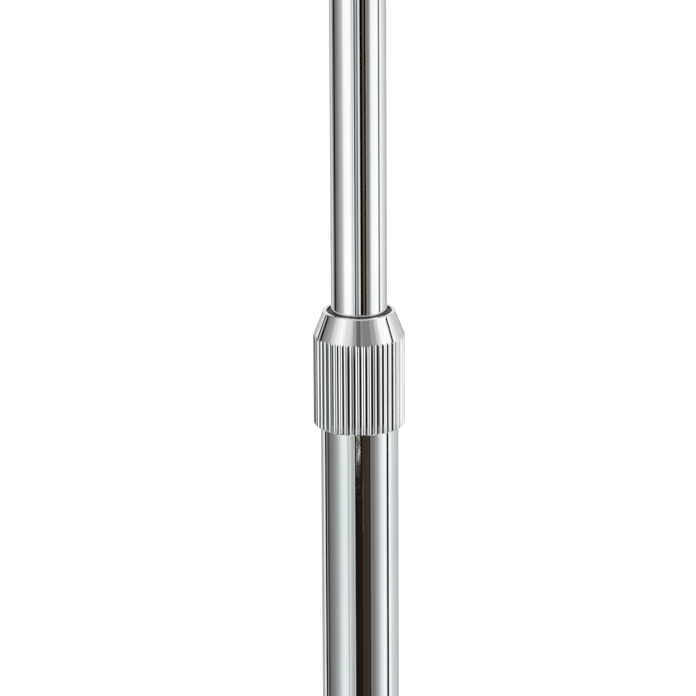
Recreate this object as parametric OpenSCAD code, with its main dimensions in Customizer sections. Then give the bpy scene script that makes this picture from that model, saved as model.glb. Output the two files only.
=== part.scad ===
// Telescopic floor lamp: a weighted round base, a two-part chrome pole locked by a
// fluted twist collar, and a drum shade carried on a harp over a switched lampholder.
// Millimetres, +Z up, the floor at z = 0, the pole on the Z axis, the cable outlet on +Y.

/* [Base] */
// Outside diameter of the spun cover
base_d = 280; // [240:5:330]
// Height of the cover's rim above the floor
base_h = 22; // [20:1:30]
// Rise of the cover's top from its rim to its hub
base_rise = 5; // [2:1:12]
// Sheet thickness of the cover
cover_t = 1.0; // [0.6:0.1:1.4]
// Round of the cover's top edge
cover_edge_r = 6; // [4:0.5:7]
// Gap under the cover's lower edge
cover_lift = 2.5; // [2:0.1:3]
// Radius of the flat hub that the pole stands on
hub_r = 32; // [28:1:40]
// Thickness of the felt pad
pad_t = 2; // [1:0.5:2.5]
// Thickness of the cast weight outside its hub
weight_t = 13; // [9:1:14]
// Free space between the weight and the cover's wall
weight_gap = 6; // [4:1:10]
// Radius of the recess under the weight
recess_r = 24; // [21:1:26]
// Depth of the recess under the weight
recess_depth = 7; // [6.5:0.5:8]
// Width of the cable channel under the weight
channel_w = 9; // [8:1:12]
// Bore radius of the cable grommet
grommet_bore_r = 3; // [2.5:0.1:3.5]
// Outside radius of the grommet's flanges
grommet_flange_r = 5.5; // [5:0.1:6]

/* [Threaded tubes] */
// Outside radius of both threaded nipples
nipple_r = 4.9; // [4.5:0.1:5.2]
// Bore radius of both nipples, where the flex runs
nipple_bore_r = 3.2; // [2.5:0.1:3.6]
// Thickness of the base nut
nut_t = 4; // [3:0.5:4]
// Radius of the base nut over its corners
nut_r = 9.2; // [8.6:0.1:10]
// Thickness of the base washer
washer_t = 1.5; // [1:0.1:1.8]
// Outside radius of the base washer
washer_r = 18; // [14:1:20]

/* [Pole] */
// Outside diameter of the lower tube
lower_d = 25; // [23:0.5:27]
// Wall of the lower tube
lower_wall = 1.2; // [1:0.1:1.3]
// Length of the lower tube
lower_len = 725; // [650:5:800]
// Outside diameter of the upper tube
upper_d = 18; // [17:0.25:18.5]
// Wall of the upper tube
upper_wall = 1.0; // [0.8:0.1:1.3]
// Length of the upper tube
upper_len = 700; // [650:5:740]
// Length of upper tube standing above the collar in the stored pose
exposed = 430; // [380:5:470]
// Height of the ferrule round the pole's foot
ferrule_h = 18; // [14:1:24]
// Radius of the ferrule's foot
ferrule_r = 21; // [18:1:25]
// Length of the plug in the lower tube's foot
foot_plug_len = 20; // [15:1:26]
// Length of the guide bush on the upper tube's foot
bush_len = 25; // [18:1:32]

/* [Clamp] */
// Height of the collar
collar_h = 38; // [35:0.2:40]
// Diameter over the collar's crests
collar_d = 29.5; // [28.5:0.1:31]
// Height of the collar's fluted cylinder
flute_h = 29.5; // [26:0.5:31]
// Number of flutes
flute_count = 52; // [36:2:60]
// Depth of each flute
flute_depth = 0.3; // [0.2:0.02:0.36]
// Degrees by which the flutes are turned round the collar
flute_turn = 1.5; // [0:0.5:7]
// Share of the pitch that a flute takes, the rest being its crest
flute_share = 0.84; // [0.7:0.02:0.92]
// Diameter of the collar's top rim
rim_d = 23.2; // [22.6:0.1:24.5]
// Bore radius of the collar's rim
rim_bore_r = 10.4; // [10.2:0.05:10.6]
// Height of the rim above the collar's inner shoulder
rim_h = 4; // [3:0.2:5]
// Chamfer of the collar's lower edge
collar_chamfer = 0.5; // [0.2:0.1:0.7]
// Round of the collar's rim
rim_round = 0.35; // [0.15:0.05:0.4]
// Outside radius of the bushing's threaded neck
neck_r = 11; // [10.9:0.05:11.2]
// Height of the neck bushing above the lower tube
neck_h = 11; // [10:0.5:12]
// Thickness of the neck bushing's flange
neck_flange_t = 1.2; // [0.8:0.1:1.5]
// Length of the neck bushing inside the lower tube
neck_insert = 25.5; // [18:0.5:32]
// Depth of the conical seat in the neck
seat_depth = 3; // [2.5:0.1:4]
// Wall of the neck at the mouth of its seat
neck_lip = 0.7; // [0.6:0.05:0.9]
// Height of the collet's head
collet_head_h = 2.7; // [2.2:0.1:3]
// Wall of the collet's nose
nose_wall = 0.72; // [0.5:0.02:0.8]
// How far the collet's nose stays below the collar's rim
nose_sink = 0.3; // [0.2:0.1:1.5]
// Number of slots in the collet
slot_count = 6; // [4:1:8]
// Width of each slot
slot_w = 0.8; // [0.6:0.1:1.2]
// Thickness of the slip washer
slip_t = 1.2; // [0.8:0.1:1.4]

/* [Lampholder] */
// Radius of the ferrule on top of the pole
top_ferrule_r = 13; // [11.5:0.5:15]
// Thickness of the top ferrule over the tube's end
top_ferrule_t = 5; // [3.5:0.5:7]
// Length of the plug in the upper tube's head
top_plug_len = 16; // [12:1:22]
// Outside radius of the socket shell
shell_r = 17.2; // [16.9:0.1:18.5]
// Sheet thickness of the socket shell and cap
shell_t = 0.6; // [0.4:0.1:0.8]
// Height of the socket cap
cap_h = 15; // [13:0.5:17]
// Height of the socket shell
shell_h = 43; // [41:1:45]
// Radius of the switch body
switch_body_r = 14.6; // [14.2:0.1:15]
// Height of the switch body
switch_body_h = 22.5; // [20:0.5:24]
// Inside radius of the screw shell
screw_shell_r = 13.35; // [13.25:0.05:13.6]
// Height of the screw shell
screw_shell_h = 23; // [20:1:25]
// Radius of the switch shaft
shaft_r = 2; // [1.6:0.1:2.4]
// Radius of the switch knob
knob_r = 6.5; // [5.5:0.5:8]
// Length of the switch knob
knob_len = 11; // [8:1:14]

/* [Bulb] */
// Diameter of the bulb's globe
globe_d = 60; // [55:1:66]
// Overall length of the bulb
bulb_len = 108; // [102:1:116]
// Radius of the bulb's screw cap
bulb_cap_r = 13.05; // [12.95:0.05:13.1]
// Height of the bulb's screw cap
bulb_cap_h = 20; // [18:1:22]

/* [Harp] */
// Radius of the harp's wire
harp_wire_r = 2.2; // [1.8:0.1:2.3]
// Height of the harp's top above the tube's end
harp_h = 225; // [210:5:245]
// Half of the harp's greatest width, to the wire's centre
harp_half_w = 54; // [50:1:62]
// Distance of each sleeve from the pole's axis
sleeve_x = 30; // [28:0.5:33]
// Length of the straight leg at each foot of the harp
leg_len = 30; // [28:1:36]
// Slope of the harp's shoulders, in degrees from upright
shoulder_angle = 28; // [22:1:34]
// Sheet thickness of the saddle
saddle_t = 1.4; // [1.2:0.1:1.6]
// Width of the saddle's strip
saddle_w = 11; // [10:0.5:13]
// Length of each locking sleeve
sleeve_len = 14; // [12:1:15]
// Travel of each locking sleeve
sleeve_travel = 12; // [8:1:12]

/* [Shade] */
// Outside diameter of the shade's top
shade_top_d = 360; // [300:5:400]
// Outside diameter of the shade's bottom
shade_bottom_d = 400; // [380:5:440]
// Height of the shade
shade_h = 240; // [220:5:270]
// Thickness of the fabric skin
fabric_t = 0.5; // [0.4:0.1:0.8]
// Thickness of the stiff liner
liner_t = 0.5; // [0.4:0.1:0.8]
// Radius of the two ring wires
ring_wire_r = 1.6; // [1.2:0.1:2]
// Distance of each ring from the shade's edge
ring_inset = 3.5; // [3:0.5:6]
// Drop of the spider's hub below the top ring
spider_drop = 12; // [8:1:20]
// Radius of the spider's arms
spider_wire_r = 1.8; // [1.4:0.1:2.2]
// Number of spider arms
spider_arms = 3; // [3:1:4]
// Radius of the spider's hub
spider_hub_r = 13; // [12:0.5:16]
// Thickness of the spider's hub
spider_hub_t = 2; // [1.5:0.1:3]
// Height of the finial
finial_h = 24; // [20:1:30]
// Radius of the finial's ball
finial_r = 8; // [7:0.5:10]

/* [Hidden] */
$fn = 64;

// Clearances: within a pressed or threaded joint, in a running fit, beside a moving face
snug = 0.03;
running = 0.08;
free = 0.2;
// How far a bead stands proud of its wire
bead = 0.03;

// Base, from the floor up
base_r = base_d / 2;
hub_z = base_h + base_rise;
weight_r = base_r - cover_t - weight_gap;
weight_hub_r = hub_r - 2;
recess_z = pad_t + recess_depth;
nut_z = recess_z - washer_t - nut_t;
nipple_foot_z = nut_z - 0.8;
wall_top_z = base_h - cover_edge_r;
grommet_z = (cover_lift + wall_top_z) / 2;
grommet_neck_r = (grommet_bore_r + grommet_flange_r) / 2;
grommet_flange_t = 1.2;
channel_top_z = grommet_z + grommet_bore_r + 1;

// Pole, from the cover's hub up
lower_r = lower_d / 2;
lower_bore_r = lower_r - lower_wall;
lower_top_z = hub_z + lower_len;
upper_r = upper_d / 2;
upper_bore_r = upper_r - upper_wall;

// Clamp: the neck stands on the lower tube, the collet in the neck, the slip washer on the
// collet's head, and the collar's shoulder over the washer
neck_top_z = lower_top_z + neck_h;
neck_bore_r = upper_r + running;
seat_r = neck_r - neck_lip;
seat_slope = (seat_r - neck_bore_r) / seat_depth;
collet_r = upper_r + snug;
collet_foot_z = neck_top_z - seat_depth + 0.8;
head_z = neck_top_z + free;
head_top_z = head_z + collet_head_h;
nose_r = collet_r + nose_wall;
slip_z = head_top_z + free;
shoulder_z = slip_z + slip_t + free;
collar_top_z = shoulder_z + rim_h;
collar_z = collar_top_z - collar_h;
thread_r = neck_r + running;
head_r = thread_r - free;
skirt_r = lower_r + 0.25;
skirt_top_z = lower_top_z + neck_flange_t + 0.3;
crest_r = collar_d / 2;
rim_r = rim_d / 2;

// A flute is cut by a cylinder that meets the crest circle at the flute's two edges
flute_floor_r = crest_r - flute_depth;
flute_half_angle = 180 / flute_count * flute_share;
flute_reach = crest_r * cos(flute_half_angle);
flute_chord = pow(crest_r, 2) + pow(flute_floor_r, 2) - 2 * flute_floor_r * flute_reach;
flute_r = flute_chord / (2 * (flute_reach - flute_floor_r));

// Upper tube and what it carries
mast_top_z = collar_top_z + exposed;
mast_foot_z = mast_top_z - upper_len;
bush_lip = 2;
saddle_z = mast_top_z + top_ferrule_t;
cap_z = saddle_z + saddle_t;
nipple_top_z = cap_z + 8;
switch_body_z = nipple_top_z + 1;
shaft_z = switch_body_z + switch_body_h * 0.62;
shell_z = cap_z + cap_h;
shell_top_z = shell_z + shell_h;
screw_z = switch_body_z + switch_body_h;
liner_gap = 0.3;
socket_liner_t = 0.6;
contact_h = 2.8;
knob_gap = 1.2;
knob_y = shell_r + knob_gap;

// Bulb, standing on the centre contact
bulb_z = screw_z + contact_h + 0.2;
tip_h = 1.2;
bulb_insulator_h = 3.6;
bulb_cap_z = bulb_z + tip_h + bulb_insulator_h;
bulb_body_z = bulb_cap_z + bulb_cap_h;
globe_r = globe_d / 2;
globe_z = bulb_z + bulb_len - globe_r;
globe_cut_z = globe_z - 0.4 * globe_r;
globe_t = 1.2;

// Harp and saddle
tongue_x = sleeve_x - 1.6;
leg_x = sleeve_x + harp_wire_r - 0.8;
tongue_w = 5;
tongue_len = 12;
saddle_flat = 14;
saddle_bend = 5;
saddle_slope = 55;
saddle_level_z = saddle_z + saddle_t / 2;
saddle_ramp = (tongue_x - saddle_flat - saddle_bend) / cos(saddle_slope);
saddle_ramp_rise = saddle_ramp * sin(saddle_slope);
saddle_arm_z = saddle_level_z + saddle_bend + saddle_ramp_rise;
sleeve_z = saddle_arm_z + 1;
sleeve_bore_r = 4.2;
sleeve_wall = 0.9;
harp_top_z = mast_top_z + harp_h;
harp_flat = 8;
harp_corner = harp_half_w - harp_flat;
harp_bend_out = 20;
harp_bend_in = 40;
harp_inset = harp_half_w - leg_x;
harp_bends = harp_bend_in + harp_bend_out;
harp_slant = (harp_inset - harp_bends * (1 - cos(shoulder_angle))) / sin(shoulder_angle);
harp_slant_h = harp_slant * cos(shoulder_angle) + harp_bends * sin(shoulder_angle);
leg_foot_z = sleeve_z + 0.5;
harp_side = harp_top_z - harp_corner - harp_slant_h - leg_len - leg_foot_z;

// Shade, hung from the spider's hub
stud_base_r = 6;
stud_base_h = 5;
stud_r = 3.1;
spider_z = harp_top_z + stud_base_h;
stud_top_z = spider_z + spider_hub_t + 10;
top_ring_z = spider_z + spider_hub_t / 2 + spider_drop;
shade_top_z = top_ring_z + ring_inset;
shade_z = shade_top_z - shade_h;
shade_slope = (shade_bottom_d - shade_top_d) / 2 / shade_h;
skin_gap = 0.1;
spider_bend = 8;
spider_bend_angle = 40;
finial_foot_r = 7;
finial_neck_r = 4.6;

// Outside radius of the shade at height z
function shade_r(z) = shade_bottom_d / 2 - (z - shade_z) * shade_slope;
// Inside radius of the shade's liner at height z
function liner_r(z) = shade_r(z) - fabric_t - skin_gap - liner_t;
// Radius of a ring lying against the liner at height z
function ring_r(z) = liner_r(z) - ring_wire_r * sqrt(1 + pow(shade_slope, 2)) - skin_gap;
// Points of an arc about centre c, from angle a to angle b
function arc(c, r, a, b, n = 8) =
    [for (i = [0 : n]) c + r * [cos(a + (b - a) * i / n), sin(a + (b - a) * i / n)]];

// A ring or tube between two radii, from height z
module tube(r_in, r_out, z, h) {
    translate([0, 0, z]) difference() {
        cylinder(r = r_out, h = h);
        translate([0, 0, -1]) cylinder(r = r_in, h = h + 2);
    }
}

// A round wire from the origin along +Z. Each step is [length] for a straight run, or
// [radius, angle] for a bend in the XZ plane, towards +X where the angle is positive.
// A bead a hair proud of the wire closes each joint between two steps.
module wire(r, path, i = 0) {
    if (i < len(path)) {
        step = path[i];
        if (i > 0) sphere(r = r + bead);
        if (len(step) == 1) {
            cylinder(r = r, h = step[0]);
            translate([0, 0, step[0]]) wire(r, path, i + 1);
        } else {
            radius = step[0];
            turn = step[1];
            rotate([0, 0, turn > 0 ? 0 : 180]) translate([radius, 0, 0]) rotate([90, 0, 180])
                rotate_extrude(angle = abs(turn)) translate([radius, 0]) circle(r = r);
            translate([sign(turn) * radius * (1 - cos(turn)), 0, radius * sin(abs(turn))])
                rotate([0, turn, 0]) wire(r, path, i + 1);
        }
    }
}

// ---- Base ----

// Felt pad glued under the weight
module base_pad() {
    color("dimgray") cylinder(r = weight_r - 1, h = pad_t);
}

// Cast weight with a raised hub, a recess for the nut and a channel for the flex
module base_weight() {
    color("darkslategray") difference() {
        union() {
            translate([0, 0, pad_t]) cylinder(r = weight_r, h = weight_t);
            translate([0, 0, pad_t]) cylinder(r = weight_hub_r, h = hub_z - cover_t - pad_t);
        }
        translate([0, 0, pad_t - 1]) cylinder(r = recess_r, h = recess_depth + 1);
        cylinder(r = nipple_r + free, h = hub_z);
        translate([-channel_w / 2, 0, pad_t - 1])
            cube([channel_w, base_r, channel_top_z - pad_t + 1]);
    }
}

// Half section of the cover's solid shape, drawn in by the sheet's thickness for its inside
module cover_section(inset) {
    r = base_r - inset;
    edge = cover_edge_r - inset;
    top = base_h - inset;
    square([r - edge, top]);
    square([r, top - edge]);
    translate([r - edge, top - edge]) circle(r = edge);
    polygon([[0, top - 1], [r - edge, top], [hub_r, hub_z - inset], [0, hub_z - inset]]);
}

// Spun steel cover over the weight, pierced for the nipple and the grommet
module base_cover() {
    color("silver") difference() {
        rotate_extrude() intersection() {
            difference() {
                cover_section(0);
                cover_section(cover_t);
            }
            translate([0, cover_lift]) square([base_r, hub_z]);
        }
        cylinder(r = nipple_r + free, h = hub_z + 1);
        translate([0, base_r - 5, grommet_z]) rotate([-90, 0, 0])
            cylinder(r = grommet_neck_r + snug, h = 10);
    }
}

// Threaded tube that draws the pole, the cover and the weight together
module base_nipple() {
    color("goldenrod")
        tube(nipple_bore_r, nipple_r, nipple_foot_z, hub_z + foot_plug_len - 3 - nipple_foot_z);
}

// Washer under the weight
module base_washer() {
    color("lightgray") tube(nipple_r + snug, washer_r, recess_z - washer_t, washer_t);
}

// Hex nut under the washer
module base_nut() {
    color("lightgray") translate([0, 0, nut_z]) difference() {
        cylinder(r = nut_r, h = nut_t, $fn = 6);
        translate([0, 0, -1]) cylinder(r = nipple_r + snug, h = nut_t + 2);
    }
}

// Rubber grommet where the flex leaves the cover
module cable_grommet() {
    inner_face = sqrt(pow(base_r - cover_t, 2) - pow(grommet_flange_r, 2)) - snug;
    color("black") translate([0, 0, grommet_z]) rotate([-90, 0, 0]) difference() {
        union() {
            tube(grommet_bore_r, grommet_flange_r, inner_face - grommet_flange_t,
                grommet_flange_t);
            tube(grommet_bore_r, grommet_flange_r, base_r + snug, grommet_flange_t);
            tube(grommet_bore_r, grommet_neck_r, inner_face - 0.1,
                base_r + snug - inner_face + 0.2);
        }
    }
}

// ---- Pole ----

// Turned ring that dresses the pole's foot
module pole_ferrule() {
    hollow = ferrule_h - 6;
    bore = lower_r + 0.1;
    color("silver") translate([0, 0, hub_z]) rotate_extrude() difference() {
        polygon([[bore, 0], [ferrule_r, 0], [ferrule_r, 3], [lower_r + 3, hollow + 3],
            [lower_r + 3, ferrule_h - 1], [lower_r + 2, ferrule_h], [bore, ferrule_h]]);
        translate([ferrule_r + 1, hollow + 3]) scale([(ferrule_r - lower_r - 2) / hollow, 1])
            circle(r = hollow);
    }
}

// Plug welded in the lower tube's foot, tapped for the nipple
module pole_foot_plug() {
    color("gray") tube(nipple_r + snug, lower_bore_r - snug, hub_z, foot_plug_len);
}

// Lower, outer tube of the pole
module lower_tube() {
    color("silver") tube(lower_bore_r, lower_r, hub_z, lower_len);
}

// ---- Clamp ----

// Bushing in the lower tube's mouth, with the collar's threaded neck and the collet's seat
module neck_bushing() {
    color("lightgray") rotate_extrude() polygon([
        [neck_bore_r, lower_top_z - neck_insert],
        [lower_bore_r - snug, lower_top_z - neck_insert],
        [lower_bore_r - snug, lower_top_z],
        [lower_r - 0.05, lower_top_z],
        [lower_r - 0.05, lower_top_z + neck_flange_t],
        [neck_r, lower_top_z + neck_flange_t],
        [neck_r, neck_top_z],
        [seat_r, neck_top_z],
        [neck_bore_r, neck_top_z - seat_depth]]);
}

// Slotted collet that the collar presses into the seat, gripping the upper tube
module clamp_collet() {
    foot_r = neck_bore_r + (collet_foot_z - neck_top_z + seat_depth) * seat_slope - 0.1;
    color("darkgray") difference() {
        rotate_extrude() polygon([
            [collet_r, collet_foot_z],
            [foot_r, collet_foot_z],
            [seat_r - 0.1, neck_top_z],
            [seat_r - 0.1, head_z],
            [head_r, head_z],
            [head_r, head_top_z],
            [nose_r, head_top_z],
            [nose_r, collar_top_z - nose_sink],
            [collet_r, collar_top_z - nose_sink]]);
        for (i = [1 : slot_count])
            rotate(i * 360 / slot_count)
                translate([0, -slot_w / 2, collet_foot_z - 1])
                    cube([crest_r, slot_w, head_z + collet_head_h / 2 - collet_foot_z + 1]);
    }
}

// Washer between the turning collar and the still collet
module slip_washer() {
    color("goldenrod") tube(nose_r + 0.1, head_r, slip_z, slip_t);
}

// Half section of the collar: skirt, threaded bore, shoulder, rim, cone and fluted wall
module collar_section() {
    cone = [crest_r - rim_r, -(collar_h - flute_h)];
    normal = [-cone[1], cone[0]] / norm(cone);
    round_center = [rim_r - rim_round * (1 - normal[1]) / normal[0], collar_h - rim_round];
    polygon(concat(
        [[skirt_r + 0.3, 0], [skirt_r, 0.3],
            [skirt_r, skirt_top_z - collar_z], [thread_r, skirt_top_z - collar_z],
            [thread_r, shoulder_z - collar_z], [rim_bore_r, shoulder_z - collar_z],
            [rim_bore_r, collar_h - 0.15], [rim_bore_r + 0.15, collar_h]],
        arc(round_center, rim_round, 90, atan2(normal[1], normal[0])),
        [[crest_r, flute_h], [crest_r, collar_chamfer], [crest_r - collar_chamfer, 0]]));
}

// Fluted collar: unscrewed less than a turn it frees the upper tube
module clamp_collar() {
    color("silver") translate([0, 0, collar_z]) difference() {
        rotate_extrude() collar_section();
        for (i = [1 : flute_count])
            rotate(i * 360 / flute_count + flute_turn)
                translate([flute_floor_r + flute_r, 0, -1]) cylinder(r = flute_r, h = collar_h);
    }
}

// Upper, inner tube of the pole
module upper_tube() {
    color("silver") tube(upper_bore_r, upper_r, mast_foot_z, upper_len);
}

// Nylon bush that guides the upper tube's foot and stops it under the neck bushing
module guide_bush() {
    color("white") rotate_extrude() polygon([
        [upper_bore_r, mast_foot_z - bush_lip],
        [lower_bore_r - running - 0.6, mast_foot_z - bush_lip],
        [lower_bore_r - running, mast_foot_z - bush_lip + 0.6],
        [lower_bore_r - running, mast_foot_z + bush_len],
        [upper_r + snug, mast_foot_z + bush_len],
        [upper_r + snug, mast_foot_z],
        [upper_bore_r, mast_foot_z]]);
}

// ---- Lampholder ----

// Plug in the upper tube's head, tapped for the top nipple
module tube_top_plug() {
    color("gray")
        tube(nipple_r + snug, upper_bore_r - snug, mast_top_z - top_plug_len, top_plug_len);
}

// Threaded tube that holds the ferrule, the saddle and the socket cap
module top_nipple() {
    foot_z = mast_top_z - top_plug_len + 3;
    color("goldenrod") tube(nipple_bore_r, nipple_r, foot_z, nipple_top_z - foot_z);
}

// Turned ferrule that closes the upper tube's end
module top_ferrule() {
    color("silver") translate([0, 0, mast_top_z]) rotate_extrude() polygon(concat(
        [[nipple_r + snug, 0], [upper_r + 0.1, 0], [upper_r + 0.1, -8], [upper_r + 1.4, -8],
            [top_ferrule_r, 0]],
        arc([top_ferrule_r - 1.5, top_ferrule_t - 1.5], 1.5, 0, 90),
        [[nipple_r + snug, top_ferrule_t]]));
}

// Side outline of the saddle's right half: flat, bent up, ramp, bent upright
module saddle_outline() {
    half = saddle_t / 2;
    first = [saddle_flat, saddle_level_z + saddle_bend];
    second = first + saddle_ramp * [cos(saddle_slope), sin(saddle_slope)];
    out_r = saddle_bend + half;
    in_r = saddle_bend - half;
    polygon(concat(
        [[-1, saddle_z]], arc(first, out_r, -90, saddle_slope - 90),
        arc(second, out_r, saddle_slope - 90, 0), [[tongue_x + half, sleeve_z]],
        [[tongue_x - half, sleeve_z]], arc(second, in_r, 0, saddle_slope - 90),
        arc(first, in_r, saddle_slope - 90, -90), [[-1, cap_z]]));
}

// Stamped saddle whose two arms take the harp's feet
module harp_saddle() {
    tongue_t = saddle_t - 0.2;
    color("silver") difference() {
        union() {
            translate([0, 0, saddle_z]) cylinder(r = 11, h = saddle_t);
            for (side = [0, 1])
                mirror([side, 0, 0]) {
                    translate([0, saddle_w / 2, 0]) rotate([90, 0, 0])
                        linear_extrude(saddle_w) saddle_outline();
                    translate([tongue_x - tongue_t / 2, -tongue_w / 2, sleeve_z - 1])
                        cube([tongue_t, tongue_w, tongue_len + 1]);
                }
        }
        translate([0, 0, saddle_z - 1]) cylinder(r = nipple_r + free, h = saddle_t + 2);
    }
}

// Half section of the socket cap's solid shape, drawn in by the sheet for its inside
module cap_section(inset) {
    square([8.5 - inset, cap_h]);
    intersection() {
        translate([0, cap_h]) scale([1, (cap_h - 3 - inset) / (shell_r + 0.3 - inset)])
            circle(r = shell_r + 0.3 - inset);
        square([shell_r + 1, cap_h]);
    }
}

// Cup that closes the lampholder's foot and screws on the nipple
module socket_cap() {
    color("silver") translate([0, 0, cap_z]) {
        rotate_extrude() difference() {
            cap_section(0);
            translate([0, shell_t]) cap_section(shell_t);
            square([nipple_r + snug, cap_h]);
        }
        tube(nipple_r + snug, 7.5, shell_t, 6);
    }
}

// Moulded switch body that carries the screw shell
module socket_insulator() {
    flat_x = switch_body_r - 2.6;
    color("saddlebrown") difference() {
        translate([0, 0, switch_body_z]) rotate_extrude() polygon([
            [0, 0], [switch_body_r - 3, 0], [switch_body_r, 4], [switch_body_r, switch_body_h],
            [0, switch_body_h]]);
        for (side = [-1, 1])
            translate([side * (flat_x + 5) - 5, -6, switch_body_z - 1]) cube([10, 12, 11]);
        translate([0, 0, shaft_z]) rotate([90, 0, 0])
            cylinder(r = shaft_r + running, h = switch_body_r + 1);
        translate([0, 0, screw_z - 5]) cylinder(r = 1.5 + snug, h = 6);
    }
}

// Two terminal screws on the switch body's flats
module terminal_screws() {
    color("goldenrod") for (side = [0, 1])
        mirror([side, 0, 0]) translate([switch_body_r - 2.6, 0, switch_body_z + 5])
            rotate([0, 90, 0]) difference() {
                cylinder(r = 3, h = 1.8);
                translate([-0.4, -4, 1.2]) cube([0.8, 8, 1]);
            }
}

// Threaded shell that takes the bulb
module screw_shell() {
    color("goldenrod") {
        tube(screw_shell_r, screw_shell_r + 0.5, screw_z, screw_shell_h);
        tube(8, screw_shell_r + 0.25, screw_z, 0.6);
    }
}

// Sprung tongue under the bulb's tip, riveted to the switch body
module center_contact() {
    color("goldenrod") {
        translate([0, 0, screw_z - 4]) cylinder(r = 1.5, h = 4.1);
        translate([0, 2.5, screw_z]) rotate([90, 0, 0]) linear_extrude(5)
            polygon([[-6, 0], [5, 0], [5, 0.5], [-4, 0.5], [2, contact_h - 0.5],
                [5, contact_h - 0.5], [5, contact_h], [1.8, contact_h], [-6, 0.6]]);
    }
}

// Paper sleeve between the live parts and the shell
module socket_liner() {
    outer = shell_r - shell_t - liner_gap;
    color("wheat") difference() {
        tube(outer - socket_liner_t, outer, shell_z + 1, shell_h - 2);
        translate([0, 0, shaft_z]) rotate([90, 0, 0]) cylinder(r = shaft_r + 0.8, h = 30);
    }
}

// Outer shell of the lampholder, with a bead at its foot and a rolled mouth
module socket_shell() {
    color("silver") difference() {
        union() {
            tube(shell_r - shell_t, shell_r, shell_z, shell_h);
            tube(shell_r - shell_t, shell_r + 0.5, shell_z, 2);
            tube(shell_r - shell_t, shell_r + 0.5, shell_top_z - 1.2, 1.2);
        }
        translate([0, 0, shaft_z]) rotate([90, 0, 0]) cylinder(r = shaft_r + 0.8, h = 30);
    }
}

// Shaft of the rotary switch, running out to the front
module switch_shaft() {
    color("goldenrod") translate([0, 0, shaft_z]) rotate([90, 0, 0])
        translate([0, 0, 1]) cylinder(r = shaft_r, h = knob_y + knob_len - 3);
}

// Ribbed knob on the switch shaft
module switch_knob() {
    rib_count = 16;
    color("black") translate([0, -knob_y, shaft_z]) rotate([90, 0, 0]) difference() {
        rotate_extrude() polygon(concat([[0, 0], [knob_r, 0]],
            arc([knob_r - 1.2, knob_len - 1.2], 1.2, 0, 90), [[0, knob_len]]));
        translate([0, 0, -1]) cylinder(r = shaft_r + snug, h = knob_len);
        for (i = [1 : rib_count])
            rotate(i * 360 / rib_count)
                translate([knob_r + 0.5, 0, 1.5]) cylinder(r = 1, h = knob_len);
    }
}

// ---- Bulb ----

// Opal dome of the bulb
module bulb_globe() {
    color("white") difference() {
        translate([0, 0, globe_z]) sphere(r = globe_r);
        translate([0, 0, globe_z]) sphere(r = globe_r - globe_t);
        translate([0, 0, globe_cut_z - globe_d]) cylinder(r = globe_d, h = globe_d);
    }
}

// Moulded body between the bulb's cap and its dome
module bulb_body() {
    rise = globe_cut_z - bulb_body_z;
    top_r = sqrt(pow(globe_r, 2) - pow(0.4 * globe_r, 2)) + 0.6;
    color("whitesmoke") translate([0, 0, bulb_body_z]) rotate_extrude() difference() {
        polygon([[0, 0], [bulb_cap_r + 0.8, 0], [bulb_cap_r + 0.8, 2],
            [top_r, rise - 4], [top_r, rise], [0, rise]]);
        translate([top_r + 0.8, 3]) scale([(top_r - bulb_cap_r - 3) / (rise - 10), 1])
            circle(r = rise - 8);
    }
}

// Screw cap of the bulb
module bulb_cap() {
    color("silver") translate([0, 0, bulb_cap_z]) rotate_extrude()
        polygon([[0, 0], [bulb_cap_r - 1.5, 0], [bulb_cap_r, 1.8], [bulb_cap_r, bulb_cap_h],
            [0, bulb_cap_h]]);
}

// Black glass between the bulb's cap and its tip
module bulb_insulator() {
    color("black") translate([0, 0, bulb_z + tip_h])
        cylinder(r1 = 5.5, r2 = bulb_cap_r - 2, h = bulb_insulator_h);
}

// Solder tip of the bulb
module bulb_tip() {
    color("lightgray") translate([0, 0, bulb_z]) cylinder(r1 = 3.4, r2 = 4.4, h = tip_h);
}

// ---- Harp ----

// Wire bow that stands in the saddle, passes round the bulb and carries the shade
module harp() {
    color("silver") for (side = [0, 1])
        mirror([side, 0, 0]) translate([-1, 0, harp_top_z]) rotate([0, 90, 0])
            wire(harp_wire_r, [[harp_flat + 1], [harp_corner, 90], [harp_side],
                [harp_bend_in, shoulder_angle], [harp_slant], [harp_bend_out, -shoulder_angle],
                [leg_len]]);
}

// One sleeve, standing on its arm's shoulders round the tongue and the harp's foot
module harp_sleeve(x) {
    color("silver") translate([x, 0, 0]) {
        tube(sleeve_bore_r, sleeve_bore_r + sleeve_wall, sleeve_z, sleeve_len);
        tube(sleeve_bore_r, sleeve_bore_r + sleeve_wall + 0.6, sleeve_z, 1.2);
    }
}
module harp_sleeve_left() { harp_sleeve(-sleeve_x); }
module harp_sleeve_right() { harp_sleeve(sleeve_x); }

// Fitting riveted on the harp's top, with the stud that the shade sits on
module harp_stud() {
    color("silver") difference() {
        union() {
            translate([0, 0, harp_top_z - 1]) cylinder(r = stud_base_r, h = stud_base_h + 1);
            translate([0, 0, spider_z]) cylinder(r = stud_r, h = stud_top_z - spider_z);
        }
        translate([-20, 0, harp_top_z]) rotate([0, 90, 0])
            cylinder(r = harp_wire_r + snug, h = 40);
    }
}

// ---- Shade ----

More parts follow.
